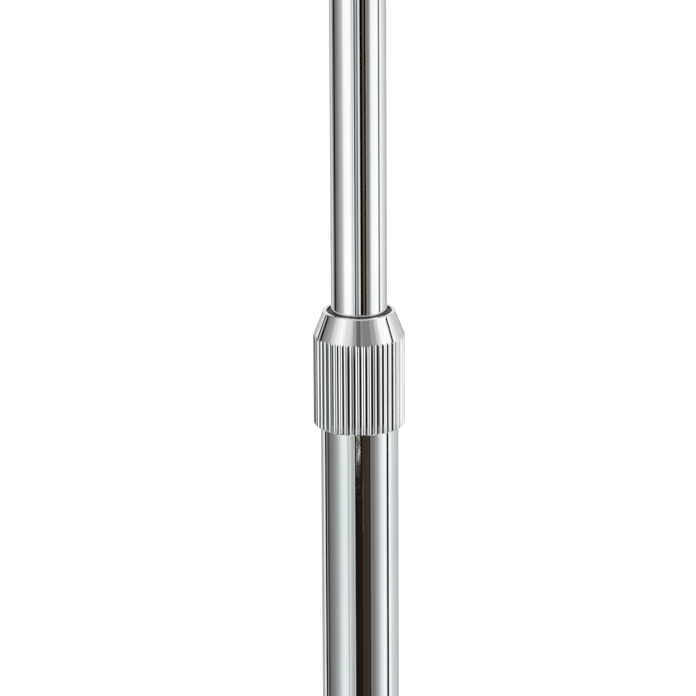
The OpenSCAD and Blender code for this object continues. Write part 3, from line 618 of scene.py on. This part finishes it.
for vert in bm.verts:
    r = math.hypot(vert.co.x, vert.co.y) / mm
    groove = 0.5 + 0.5 * math.cos(grooves * math.atan2(vert.co.y, vert.co.x))
    if r > 4 and vert.co.z > groove_start * mm:
        vert.co.xy *= 1 - groove_depth * groove ** 2 / r
forward = Matrix.Rotation(math.pi / 2, 4, "X")
out_of_the_front = Matrix.Translation((0, knob_back * mm, shaft_z * mm)) @ forward
bmesh.ops.transform(bm, matrix=out_of_the_front, verts=bm.verts)
switch_knob = finish_piece(bm, "grooved_switch_knob", black_plastic)
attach(switch_knob, "switch")
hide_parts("switch_knob")

# ---- Bulb ----
# A lamp with a screw cap of nickelled brass, black glass and a solder tip under it, a white
# moulded body, and an opal plastic dome that spreads the light.
glass_tones = ((0.01, 0.01, 0.012), (0.016, 0.016, 0.018))
black_glass = make_finish("black_glass", glass_tones, 4, (0.06, 0.12), 0.5, 0.004)
dress(black_glass, "bulb_insulator")
solder_tones = ((0.45, 0.46, 0.47), (0.62, 0.63, 0.64))
solder = make_finish("solder", solder_tones, 1.2, (0.25, 0.45), 0.6, 0.05, Metallic=1.0)
dress(solder, "bulb_tip")
bulb_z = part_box("bulb_cap")[0].z / mm
cap_r = 13.05
cap_len = 20.0
cap_cone = 1.8
screw_cap = ([(0, 0), (cap_r - 1.5, 0)] + [(cap_r, h) for h in spaced(cap_cone, cap_len, 48)]
             + [(0, cap_len)])
bm = spin_outline(screw_cap, 128, bulb_z, closed=False)
roll_thread(bm, bulb_z + cap_cone, bulb_z + cap_len - 1.5, 0.75)
bulb_cap = finish_piece(bm, "bulb_screw_cap", nickel_plate, 50)
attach(bulb_cap, "mast")
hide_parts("bulb_cap")

body_tones = ((0.78, 0.78, 0.77), (0.83, 0.83, 0.82))
bulb_white = make_finish("white_bulb_moulding", body_tones, 12, (0.32, 0.45), 0.3, 0.006)
body_z = bulb_z + cap_len
body_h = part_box("bulb_body")[1].z / mm - body_z
body_foot_r = 13.85
globe_r = 30.0
globe_cut = 12.0
globe_wall = 1.2
body_r = math.sqrt(globe_r ** 2 - globe_cut ** 2) + 0.6
body_bell = (body_r - cap_r - 3, body_h - 8)
body_outline = (
    [(0, 0), (body_foot_r - 0.45, 0), (body_foot_r, 0.45), (body_foot_r, 2)]
    + rounded((body_r + 0.8, 3), body_bell, 180, 95, 20)[1:]
    + [(body_r, body_h - 3.6), (body_r, body_h - 0.4), (body_r - 0.4, body_h), (0, body_h)])
bulb_body = turned("bulb_body_moulding", body_outline, bulb_white, body_z, ease=0, closed=False)
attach(bulb_body, "mast")
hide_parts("bulb_body")

opal_tones = ((0.84, 0.84, 0.82), (0.87, 0.87, 0.86))
opal = make_finish("opal_dome", opal_tones, 20, (0.3, 0.4), 0.5, 0.004)
globe_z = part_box("bulb_globe")[1].z / mm - globe_r
inside_r = globe_r - globe_wall
cut = math.degrees(math.asin(-globe_cut / globe_r))
inner_cut = math.degrees(math.asin(-globe_cut / inside_r))
dome_outline = (rounded((0, 0), (globe_r, globe_r), 90, cut, 40)
                + rounded((0, 0), (inside_r, inside_r), inner_cut, 90, 36))
bulb_dome = turned("opal_bulb_dome", dome_outline, opal, globe_z, ease=0, closed=False)
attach(bulb_dome, "mast")
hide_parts("bulb_globe")

# ---- Harp ----
# A bow of nickelled steel wire that stands in the saddle, passes round the bulb and carries
# the shade. It lifts off when its two sleeves are raised.
wire_r = 2.2
harp_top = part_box("harp_stud")[0].z / mm + 1
leg_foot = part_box("harp")[0].z / mm
half_w = 54.0
crown_r = 46.0
shoulder_r = 40.0
ankle_r = 20.0
leg_x = 31.4
leg_len = 30.0
lean = 28
lean_cos, lean_sin = math.cos(math.radians(lean)), math.sin(math.radians(lean))
slant = (half_w - leg_x - (shoulder_r + ankle_r) * (1 - lean_cos)) / lean_sin
slant_h = slant * lean_cos + (shoulder_r + ankle_r) * lean_sin
side_len = harp_top - crown_r - slant_h - leg_len - leg_foot


def bend_wire(bm, start, heading, normal, wire_r, path, around=20):
    """A round wire bent in one plane, in millimetres.

    Each step is a straight length, or (radius, degrees) for a bend, positive towards heading x
    normal.
    """
    heading = Vector(heading).normalized()
    normal = Vector(normal).normalized()
    at = Vector(start) * mm
    facing = heading.to_track_quat("Z", "Y").to_matrix().to_4x4()
    ring = bmesh.ops.create_circle(bm, cap_ends=True, segments=around, radius=wire_r * mm,
                                   matrix=Matrix.Translation(at) @ facing)["verts"]
    for step in path:
        edges = list({e for v in ring for e in v.link_edges if e.other_vert(v) in ring})
        if isinstance(step, tuple):
            radius = step[0] * mm
            turn = math.radians(step[1])
            side = heading.cross(normal) * math.copysign(1, turn)
            centre = at + side * radius
            axis = side.cross(heading) * -1
            made = bmesh.ops.spin(bm, geom=list(ring) + edges, cent=centre, axis=axis, angle=abs(turn),
                                  steps=max(4, round(abs(step[1]) / 5)))["geom_last"]
            swing = Matrix.Rotation(abs(turn), 3, axis)
            at = centre + swing @ (at - centre)
            heading = swing @ heading
        else:
            made = bmesh.ops.extrude_edge_only(bm, edges=edges)["geom"]
            moved = [v for v in made if isinstance(v, bmesh.types.BMVert)]
            bmesh.ops.translate(bm, vec=heading * step * mm, verts=moved)
            at = at + heading * step * mm
        ring = [v for v in made if isinstance(v, bmesh.types.BMVert)]
    bmesh.ops.contextual_create(bm, geom=ring)


bm = bmesh.new()
for side in (-1, 1):
    bend_wire(bm, (0, 0, harp_top), (side, 0, 0), (0, side, 0), wire_r,
              [half_w - crown_r, (crown_r, -90), side_len, (shoulder_r, -lean), slant, (ankle_r, lean),
               leg_len], 24)
bmesh.ops.delete(bm, geom=[f for f in bm.faces if abs(f.calc_center_median().x) < 1e-6], context="FACES")
bmesh.ops.remove_doubles(bm, verts=bm.verts, dist=1e-6)
bmesh.ops.recalc_face_normals(bm, faces=bm.faces)
harp = finish_piece(bm, "nickelled_harp", nickel_plate, 40)
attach(harp, "mast")
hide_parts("harp")

# ---- Locking sleeves ----
# Two short nickelled tubes that drop over the harp's feet and the saddle's tongues. Lifted, they
# let the harp off.
sleeve_x = 30.0
sleeve_h = 14.0
sleeve_bore_r = 4.2
sleeve_r = 5.1
bead_r = 5.7
bead_h = 1.2
sleeve_outline = [(sleeve_bore_r, 0), (bead_r, 0), (bead_r, bead_h), (sleeve_r, bead_h),
                  (sleeve_r, sleeve_h), (sleeve_bore_r, sleeve_h)]
for side, name in ((-1, "left"), (1, "right")):
    stand = Matrix.Translation((side * sleeve_x * mm, 0, sleeve_z * mm))
    sleeve = turned("nickelled_sleeve_" + name, sleeve_outline, nickel_plate, ease=0.22, steps=64,
                    where=stand)
    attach(sleeve, "sleeve_" + name)
    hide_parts("harp_sleeve_" + name)

# ---- Harp stud ----
# A turned fitting riveted on the bow's top: the shade's hub sits on its shoulder, and the
# finial screws on its thread.
stud_steel = make_finish("threaded_nickel_stud", nickel_tones, 6, (0.18, 0.32), 0.3, 0.004, Metallic=1.0)
cut_thread(stud_steel, 0.9, 0.3)
stud_z = harp_top - 1
stud_r = 3.1
stud_h = 18.0
seat_r = 6.0
seat_h = 6.0
stud_outline = [(0, 0), (seat_r, 0), (seat_r, seat_h), (stud_r, seat_h), (stud_r, stud_h), (0, stud_h)]
harp_stud = turned("threaded_harp_stud", stud_outline, stud_steel, stud_z, ease=0.3, steps=64,
                   closed=False)
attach(harp_stud, "mast")
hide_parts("harp_stud")

# ---- Spider and rings ----
# A stamped hub with three wire arms welded to the shade's top ring, and a second ring at the
# bottom. The wires are bright drawn steel with a nickel flash.
spider_z = stud_z + seat_h
spider_t = 2.0
spider_r = 13.0
spider_bore_r = 3.3
ring_wire_r = 1.6
ring_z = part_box("shade_top_ring")[0].z / mm + ring_wire_r
arm_wire_r = 1.8
arm_start = 9.0
arm_end_len = 6.0
arm_bend_r = 8.0
arm_fall = 40
fall_cos, fall_sin = math.cos(math.radians(arm_fall)), math.sin(math.radians(arm_fall))
arm_z = spider_z + spider_t / 2
arm_slant = (ring_z - arm_z - 2 * arm_bend_r * (1 - fall_cos)) / fall_sin
arm_bends = 2 * arm_bend_r * fall_sin + arm_slant * fall_cos
shade_h = 240.0
shade_foot_r = 200.0
shade_top_r = 180.0
shade_slope = (shade_foot_r - shade_top_r) / shade_h
shade_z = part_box("shade_fabric")[0].z / mm
shade_top = shade_z + shade_h
liner_in = 1.1


def shade_radius(height):
    """Outside radius of the shade at a height, in millimetres."""
    return shade_foot_r - (height - shade_z) * shade_slope


def ring_radius(height):
    """Radius of a ring that lies just inside the liner."""
    return shade_radius(height) - liner_in - ring_wire_r * math.hypot(1, shade_slope) - 0.1


arm_tip = ring_radius(ring_z) - 1.65
spider_outline = [
    (spider_bore_r, 0), (spider_r - 0.3, 0), (spider_r, 0.3), (spider_r, spider_t - 0.3),
    (spider_r - 0.3, spider_t), (spider_bore_r, spider_t)]
bm = spin_outline(spider_outline, 96, spider_z)
for turn in (90, 210, 330):
    out = Vector((math.cos(math.radians(turn)), math.sin(math.radians(turn)), 0))
    bend_wire(bm, out * arm_start + Vector((0, 0, arm_z)), out, out.cross((0, 0, -1)), arm_wire_r,
              [arm_tip - arm_start - arm_bends - arm_end_len, (arm_bend_r, arm_fall), arm_slant,
               (arm_bend_r, -arm_fall), arm_end_len], 20)
bmesh.ops.recalc_face_normals(bm, faces=bm.faces)
shade_spider = finish_piece(bm, "shade_spider_wires", nickel_plate, 40)
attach(shade_spider, "mast")
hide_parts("shade_spider")
for name, height in (("top", ring_z), ("bottom", shade_z + 3.5)):
    # Twenty points round the wire, of which the closed outline joins the last to the first
    loop = rounded((ring_radius(height), 0), (ring_wire_r, ring_wire_r), 0, 342, 19)
    ring = turned("shade_ring_" + name, loop, nickel_plate, height, ease=0, steps=256)
    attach(ring, "mast")
    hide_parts("shade_" + name + "_ring")

# ---- Shade liner ----
# A stiff white styrene sheet, rolled into a tapered drum and clipped round the two rings. It
# keeps the cloth's shape and spreads the bulb's light.
styrene_tones = ((0.82, 0.81, 0.78), (0.85, 0.845, 0.82))
styrene = make_finish("white_styrene", styrene_tones, 40, (0.35, 0.5), 0.8, 0.01)
liner_out = 0.6
liner_rows = spaced(shade_z, shade_top, 8)
liner_outline = ([(shade_radius(h) - liner_out, h) for h in liner_rows]
                 + [(shade_radius(h) - liner_in, h) for h in reversed(liner_rows)])
shade_liner = turned("styrene_shade_liner", liner_outline, styrene, ease=0, steps=192)
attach(shade_liner, "mast")
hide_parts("shade_liner")

# ---- Shade fabric ----
# Off-white linen-look cloth, cut as a sector of a ring, glued on the liner and lapped at the back.
# Bindings of the same cloth cover both edges.
lap = math.radians(3.2)
cloth_t = 0.5


def reckon(tree, operation, *terms):
    """The result of one sum on plain values or other nodes' outputs."""
    return put(tree, "Math", dict(enumerate(terms)), operation=operation).outputs[0]


def mixed(tree, kind, share, first, second):
    """First where share is 0, second where it is 1, and a mix between."""
    return put(tree, "Mix", {"Factor": share, "A": first, "B": second}, data_type=kind).outputs["Result"]


def weave_cloth(name, pitch, tones):
    """Plain-woven cloth on the piece's own UV map, which is in metres along and across the cut."""
    finish = bpy.data.materials.new(name)
    finish.use_nodes = True
    tree = finish.node_tree
    shader = tree.nodes["Principled BSDF"]
    shader.inputs["Sheen Weight"].default_value = 0.15
    shader.inputs["Sheen Roughness"].default_value = 0.5
    shader.inputs["Specular IOR Level"].default_value = 0.25
    flat = put(tree, "UVMap", uv_map="cloth").outputs[0]
    stray = put(tree, "TexNoise", {"Vector": flat, "Scale": 160.0, "Detail": 2.0})
    drift = put(tree, "VectorMath", {0: stray.outputs["Color"], 1: (0.5, 0.5, 0.5)}, operation="SUBTRACT")
    drift = put(tree, "VectorMath", {0: drift.outputs[0], "Scale": pitch * mm * 0.9}, operation="SCALE")
    flat = put(tree, "VectorMath", {0: flat, 1: drift.outputs[0]}, operation="ADD").outputs[0]
    per_metre = 1 / (pitch * mm)
    counted = put(tree, "VectorMath", {0: flat, "Scale": per_metre}, operation="SCALE").outputs[0]
    axes = put(tree, "SeparateXYZ", {"Vector": counted}).outputs
    # Which thread lies on top at a crossing, and how high its crown stands there
    crowns = []
    parity = []
    for axis in ("X", "Y"):
        wave = reckon(tree, "SINE", reckon(tree, "MULTIPLY", axes[axis], math.pi))
        crowns.append(reckon(tree, "ABSOLUTE", wave))
        parity.append(reckon(tree, "FLOOR", axes[axis]))
    over = reckon(tree, "FLOORED_MODULO", reckon(tree, "ADD", *parity), 2.0)
    crown = mixed(tree, "FLOAT", over, *crowns)
    slubs = []
    for along in ((45, per_metre * 0.8, 1), (per_metre * 0.8, 45, 1)):
        streaks = put(tree, "Mapping", {"Vector": flat, "Scale": along}).outputs[0]
        slubs.append(put(tree, "TexNoise", {"Vector": streaks, "Scale": 1.0, "Detail": 2.0}).outputs[0])
    thread = mixed(tree, "FLOAT", over, *slubs)
    run_tones(tree, reckon(tree, "MULTIPLY", thread, crown), tones, 0.1, 0.5)
    worn = put(tree, "MapRange", {"Value": thread, "To Min": 0.95, "To Max": 0.78})
    tree.links.new(worn.outputs["Result"], shader.inputs["Roughness"])
    raise_surface(finish, crown, 0.16)
    raise_surface(finish, thread, 0.10)
    return finish


def map_cloth(bm, radius):
    """Lays the piece's surface out flat as its UV map, in metres: round the shade, and up it."""
    layer = bm.loops.layers.uv.new("cloth")
    for face in bm.faces:
        middle = math.atan2(face.calc_center_median().y, face.calc_center_median().x)
        for loop in face.loops:
            turn = math.atan2(loop.vert.co.y, loop.vert.co.x) - middle
            turn = (turn + math.pi) % math.tau - math.pi
            loop[layer].uv = ((middle + turn) * radius * mm, loop.vert.co.z)


linen_tones = ((0.60, 0.55, 0.47), (0.80, 0.76, 0.69))
linen = weave_cloth("linen_cloth", 0.62, linen_tones)
bm = bmesh.new()
outside = [(shade_radius(h), h) for h in spaced(shade_z, shade_top, 24)]
section = outside + [(r - cloth_t, h) for r, h in reversed(outside)]
start = Matrix.Rotation(math.pi / 2 + lap / 2, 3, "Z")
corners = [bm.verts.new(start @ Vector((r * mm, 0, h * mm))) for r, h in section]
edges = [bm.edges.new(pair) for pair in zip(corners, corners[1:] + corners[:1])]
round_trip = bmesh.ops.spin(bm, geom=corners + edges, cent=(0, 0, 0), axis=(0, 0, 1),
                            angle=math.tau - lap * 1.6, steps=180)["geom_last"]
bm.faces.new(corners)
under = set(bm.verts)
lapped = bmesh.ops.spin(bm, geom=round_trip, cent=(0, 0, 0), axis=(0, 0, 1), angle=lap * 2.4,
                        steps=9)["geom_last"]
for vert in set(bm.verts) - under:
    turn = (math.atan2(vert.co.y, vert.co.x) - math.pi / 2 + lap * 1.1) / (lap * 2.4)
    lift = min(1, max(0, turn * 3)) * (cloth_t + 0.08)
    vert.co.xy *= 1 + lift * mm / vert.co.xy.length
bmesh.ops.contextual_create(bm, geom=[g for g in lapped if not isinstance(g, bmesh.types.BMFace)])
bmesh.ops.recalc_face_normals(bm, faces=bm.faces)
middle_r = (shade_foot_r + shade_top_r) / 2
map_cloth(bm, middle_r)
shade_fabric = finish_piece(bm, "linen_shade_skin", linen, 35)
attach(shade_fabric, "mast")
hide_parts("shade_fabric")
# The tape's section, as the height over the shade's edge and the distance out from the drum
tape = [(-0.45, -1.2), (-0.5, 0.2), (-0.2, 0.95), (2, 1.0), (6.6, 1.0), (7.0, 0.85), (7.0, 0.62), (2, 0.62),
        (0.1, 0.6), (-0.05, 0.1), (-0.05, -1.12), (1.2, -1.15), (1.25, -1.5), (0, -1.5)]
for name, edge_z, way in (("bottom", shade_z, 1), ("top", shade_top, -1)):
    bm = spin_outline([(shade_radius(edge_z + way * h) + out, edge_z + way * h) for h, out in tape], 256)
    map_cloth(bm, middle_r)
    binding = finish_piece(bm, "linen_binding_" + name, linen, 50)
    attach(binding, "mast")

# ---- Finial ----
# A ball turned from brass and chromed, with a foot and a short neck, which screws down on the
# shade's hub.
finial_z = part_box("finial")[0].z / mm
finial_r = 7.0
finial_bore_r = 3.13
finial_bore = 10.5
ball_r = 8.0
ball_h = 16.0
finial_outline = (
    [(finial_bore_r, 0), (finial_r - 0.3, 0), (finial_r, 0.3), (finial_r, 1.5), (finial_r - 0.5, 2)]
    + rounded((6.1, 3.6), (1.5, 1.4), -90, -180, 6) + [(4.6, 8)]
    + rounded((0, ball_h), (ball_r, ball_r), -52, 90, 36)
    + [(0, finial_bore), (finial_bore_r, finial_bore)])
finial = turned("chromed_finial", finial_outline, turned_chrome, finial_z, ease=0)
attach(finial, "mast")
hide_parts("finial")

# ---- Studio ----
# A white floor under soft light, and round the lamp a ring of panels, cards and gaps that only
# the polished metal sees, as in a photographer's light tent.
scene = bpy.context.scene


def seen_clear(tree):
    """1 for rays from the camera, and for those that metal and glass send back."""
    path = put(tree, "LightPath").outputs
    either = reckon(tree, "MAXIMUM", path["Is Camera Ray"], path["Is Glossy Ray"])
    return reckon(tree, "MAXIMUM", either, path["Is Transmission Ray"])


def bare_tree(owner):
    """The shading tree of a material or a world, emptied."""
    owner.use_nodes = True
    owner.node_tree.nodes.clear()
    return owner.node_tree


white = (1, 1, 1, 1)
floor_reach = 90
white_paper = bpy.data.materials.new("white_floor_paper")
tree = bare_tree(white_paper)
paper = put(tree, "BsdfDiffuse", {"Color": (0.8, 0.8, 0.8, 1)}).outputs[0]
lift = reckon(tree, "MULTIPLY", seen_clear(tree), 0.3)
glow = put(tree, "Emission", {"Color": white, "Strength": lift}).outputs[0]
lit_paper = put(tree, "AddShader", {0: paper, 1: glow}).outputs[0]
put(tree, "OutputMaterial", {"Surface": lit_paper})
bm = bmesh.new()
bmesh.ops.create_circle(bm, cap_ends=True, segments=96, radius=floor_reach)
floor = lift_out(bm, "studio_floor", white_paper)

scene.world = bpy.data.worlds.new("soft_studio_air")
tree = bare_tree(scene.world)
level = mixed(tree, "FLOAT", seen_clear(tree), 0.92, 1.0)
air = put(tree, "Background", {"Color": white, "Strength": level}).outputs[0]
put(tree, "OutputWorld", {"Surface": air})

aim = Vector((0, 0, 0.8))
for name, spot, size, power in (
        ("key_softbox", (-1.6, -2.2, 2.9), 1.6, 24), ("fill_softbox", (2.4, -0.8, 1.8), 1.4, 8)):
    lamp = bpy.data.lights.new(name, "AREA")
    lamp.size = size
    lamp.energy = power
    light = bpy.data.objects.new(name, lamp)
    light.location = spot
    light.rotation_euler = (aim - Vector(spot)).to_track_quat("-Z", "Y").to_euler()
    light.visible_glossy = False
    light.visible_camera = False
    scene.collection.objects.link(light)

# Each card of the tent, from behind the lamp's left side round the front to its right: where it
# starts and ends in degrees, its tone at both ends, and its tint. Between two cards the tone runs
# from one to the other. The lowest tier has a deep brown backdrop, straight behind the camera.
plain, lilac, ice = (1, 1, 1), (1, 0.98, 1.04), (0.96, 1.02, 1.02)
olive, sand, pine = (1.05, 1.12, 0.8), (1.03, 1.03, 0.94), (0.97, 1.03, 0.98)
bronze, umber = (1.5, 0.95, 0.68), (1.32, 1, 0.72)
low_cards = [
    (-180, -141, 0.48, 0.44, lilac), (-137, -128, 1.0, 1.0, plain), (-127.1, -117.8, 0.002, 0.004, olive),
    (-116.4, -113.2, 0.46, 0.40, sand), (-112.4, -105, 0.05, 0.08, plain), (-102.5, -85, 0.18, 0.28, plain),
    (-72, -65, 0.43, 0.60, ice), (-57, -50, 0.86, 0.96, ice), (-46, -37, 0.97, 0.90, ice),
    (-35.2, -33.6, 0.50, 0.50, pine), (-32, -29, 0.86, 0.74, pine), (-27, -18.6, 0.66, 0.42, pine),
    (-17.4, -15.4, 0.72, 0.68, pine), (-14.3, -0.1, 0.008, 0.012, bronze),
    (0, 7, 0.012, 0.012, bronze), (9, 14, 0.040, 0.036, umber), (16, 26.6, 0.033, 0.046, umber),
    (27.8, 30.2, 0.010, 0.012, umber), (33, 40, 0.24, 0.20, lilac), (45, 58, 0.29, 0.54, lilac),
    (62, 67, 0.78, 0.88, ice), (72, 82, 1.02, 1.14, ice), (84, 86.6, 1.0, 1.02, ice),
    (87.4, 95, 0.0, 0.0, plain), (96, 103, 1.2, 1.15, plain), (106, 113, 0.87, 0.81, ice),
    (125, 135, 0.70, 0.66, ice), (147, 165, 0.57, 0.50, ice), (175, 180, 0.48, 0.48, lilac)]
flute_cards = [
    (-180, -141, 0.48, 0.46, lilac), (-137, -127, 1.25, 1.25, plain), (-124, -104, 0.0, 0.02, olive),
    (-99, -87, 0.08, 0.18, plain), (-76, -71, 0.40, 0.50, ice), (-64, -41, 1.25, 1.3, plain),
    (-36, -24, 0.72, 0.60, pine), (-19, -0.1, 0.005, 0.006, bronze),
    (0, 40, 0.006, 0.012, bronze), (44, 52, 0.20, 0.30, lilac), (58, 88, 1.25, 1.3, plain),
    (90, 96, 0.05, 0.05, plain), (98, 110, 1.25, 1.1, plain), (120, 140, 0.80, 0.72, ice),
    (155, 175, 0.48, 0.48, ice), (179, 180, 0.48, 0.48, lilac)]
high_cards = [
    (-180, -141, 0.56, 0.54, lilac), (-137, -131, 0.88, 0.82, plain), (-128, -121.5, 0.34, 0.24, olive),
    (-116.5, -109.5, 0.006, 0.006, olive), (-106.5, -101, 0.17, 0.21, plain), (-97, -92, 0.23, 0.29, plain),
    (-81, -69, 0.44, 0.62, plain), (-60, -38, 1.12, 1.2, plain), (-28, -26, 0.98, 0.95, plain),
    (-24.6, -22, 0.56, 0.56, ice), (-20.8, -18, 1.1, 1.1, ice), (-16.8, -12.8, 0.03, 0.05, plain),
    (-11.4, -7.2, 0.50, 0.54, plain), (-5.2, -2.2, 0.10, 0.12, plain), (-1, -0.1, 0.74, 0.82, plain),
    (0, 6, 0.85, 0.92, plain), (6.9, 15.4, 0.0, 0.002, plain), (19.4, 23, 0.11, 0.13, umber),
    (24.8, 30.9, 0.005, 0.006, bronze), (31.9, 34, 0.42, 0.36, pine), (36, 45, 0.20, 0.32, pine),
    (49, 52, 0.70, 0.90, plain), (56, 86.5, 1.1, 1.2, plain), (89, 94, 0.12, 0.14, plain),
    (97.5, 105, 0.95, 1.2, plain), (109, 122, 0.93, 0.79, plain), (135, 143, 0.67, 0.57, plain),
    (147, 180, 0.55, 0.6, plain)]
tilted_cards = [
    (-180, -155, 0.92, 0.9, plain), (-148, -137, 0.8, 0.8, plain), (-134, -131.4, 0.95, 1.1, plain),
    (-129, -124.5, 0.005, 0.005, plain), (-122.6, -118.6, 0.62, 0.60, sand),
    (-116.6, -111.4, 0.005, 0.005, plain), (-108.5, -84, 0.22, 0.45, plain), (-70, -50, 0.88, 1.2, plain),
    (-40, -20.5, 0.92, 0.76, plain), (-15.8, -14, 0.34, 0.34, plain), (-12.2, -9, 0.50, 0.42, plain),
    (-6, -0.1, 0.19, 0.12, plain),
    (0, 2.6, 0.13, 0.14, plain), (6, 8.5, 0.38, 0.34, plain), (11, 26.5, 0.26, 0.27, plain),
    (28, 29.5, 0.20, 0.20, plain), (31.5, 43, 0.38, 0.42, plain), (50, 54, 0.66, 0.80, plain),
    (60, 90, 1.1, 1.2, plain), (91.6, 94.6, 0.0, 0.0, plain), (96.6, 99, 1.25, 1.15, plain),
    (112, 130, 0.85, 0.68, plain), (140, 148, 0.75, 0.8, plain), (155, 180, 0.9, 0.92, plain)]
tent = bpy.data.materials.new("tent_cards")
tree = bare_tree(tent)
point = put(tree, "TexCoord").outputs["Object"]
axes = put(tree, "SeparateXYZ", {"Vector": point}).outputs
turn = reckon(tree, "ARCTAN2", axes["X"], reckon(tree, "MULTIPLY", axes["Y"], -1.0))
even_share = reckon(tree, "MULTIPLY_ADD", turn, 1 / math.tau, 0.5)
# The cards' edges wander by up to a degree, so that the lines in the metal aren't ruled
wander = 0.006
ragged = cloudy(tree, place_on_piece(tree, (0.2, 0.2, 1)), 9, detail=4.0, rough=0.7)
share = reckon(tree, "ADD", even_share, reckon(tree, "MULTIPLY_ADD", ragged, wander, -wander / 2))


def hang_cards(tree, share, cards):
    """The tones of one tier of cards round the tent, left and right of the camera."""
    halves = []
    for left in (True, False):
        ramp = put(tree, "ValToRGB", {"Fac": share})
        stops = [(at, tone, tint) for start, end, first, last, tint in cards if (start < 0) == left
                 for at, tone in ((start, first), (end, last))]
        for i, (at, tone, tint) in enumerate(stops):
            stop = ramp.color_ramp.elements[i] if i < 2 else ramp.color_ramp.elements.new(1)
            stop.position = (at + 180) / 360
            stop.color = [tone * part for part in tint] + [1]
        halves.append(ramp.outputs["Color"])
    right = reckon(tree, "GREATER_THAN", share, 0.5)
    return mixed(tree, "RGBA", right, *halves)


glow_tone = hang_cards(tree, share, low_cards)
# A sparkle in the dark backdrop's upper part: two broken strings of small lights, given by
# their sides in degrees, the height of their middle, how far they reach from it, and their tone.
# A light shows where the noise is over a threshold, which rises out of its reach at both ends.
lights_round = 42
lights_up = 230
threshold, out_of_reach = 0.57, 1.2
grid = put(tree, "CombineXYZ", {
    "X": reckon(tree, "MULTIPLY", share, lights_round),
    "Y": reckon(tree, "MULTIPLY", axes["Z"], lights_up)}).outputs[0]
sparkle = put(tree, "TexNoise", {"Vector": grid, "Scale": 1.0, "Detail": 0.0}).outputs[0]
for start, end, middle, reach, tone in ((-10, 2, 0.244, 0.044, 1.2), (7, 10, 0.191, 0.034, 0.2)):
    away = reckon(tree, "ABSOLUTE", reckon(tree, "SUBTRACT", axes["Z"], middle))
    sparse = put(tree, "MapRange",
                 {"Value": away, "From Min": reach / 2, "From Max": reach, "To Min": threshold,
                  "To Max": out_of_reach}).outputs["Result"]
    lit = reckon(tree, "GREATER_THAN", sparkle, sparse)
    for edge, side in ((start, "GREATER_THAN"), (end, "LESS_THAN")):
        lit = reckon(tree, "MULTIPLY", lit, reckon(tree, side, share, (edge + 180) / 360))
    glow_tone = mixed(tree, "RGBA", lit, glow_tone, (tone, tone * 0.97, tone * 0.94, 1))
# Where each higher tier takes over, as the heights in metres at which it starts and is whole
for cards, low, high in (
        (flute_cards, 0.240, 0.248), (high_cards, 0.303, 0.321), (tilted_cards, 0.62, 0.75)):
    climb = put(tree, "MapRange", {"Value": axes["Z"], "From Min": low, "From Max": high})
    glow_tone = mixed(tree, "RGBA", climb.outputs["Result"], glow_tone, hang_cards(tree, share, cards))
glow = put(tree, "Emission", {"Color": glow_tone, "Strength": 1.0}).outputs[0]
put(tree, "OutputMaterial", {"Surface": glow})
tent_r = 1.5
tent_h = 2.5
over_floor = 0.0005
bm = bmesh.new()
bmesh.ops.create_cone(bm, cap_ends=False, segments=256, radius1=tent_r, radius2=tent_r, depth=tent_h,
                      matrix=Matrix.Translation((0, 0, tent_h / 2 + over_floor)))
# The wall's foot is drawn in over the floor to just outside the base
foot = [e for e in bm.edges if e.is_boundary and e.verts[0].co.z < tent_h / 2]
for vert in bmesh.ops.extrude_edge_only(bm, edges=foot)["geom"]:
    if isinstance(vert, bmesh.types.BMVert):
        vert.co.xy *= (cover_r + 2) * mm / tent_r
light_tent = lift_out(bm, "light_tent", tent)
light_tent.visible_camera = False
light_tent.visible_diffuse = False
light_tent.visible_transmission = False
light_tent.visible_shadow = False

# ---- Camera ----
# A long lens straight in front of the lamp, a little above the collar, as the photograph was
# taken, with its slight roll.
target = Vector((-3.6 * mm, 0, (collar_top - 12.94) * mm))
elevation = math.radians(17.22)
distance = 1.426
roll = math.radians(-0.327)
lens = bpy.data.cameras.new("product_camera")
lens.lens = 230
lens.sensor_width = 36
lens.clip_end = 300
camera = bpy.data.objects.new("product_camera", lens)
camera.location = target + distance * Vector((0, -math.cos(elevation), math.sin(elevation)))
facing = (target - camera.location).to_track_quat("-Z", "Y").to_matrix()
camera.rotation_euler = (facing @ Matrix.Rotation(roll, 3, "Z")).to_euler()
scene.collection.objects.link(camera)
scene.camera = camera
scene.view_settings.view_transform = "Standard"
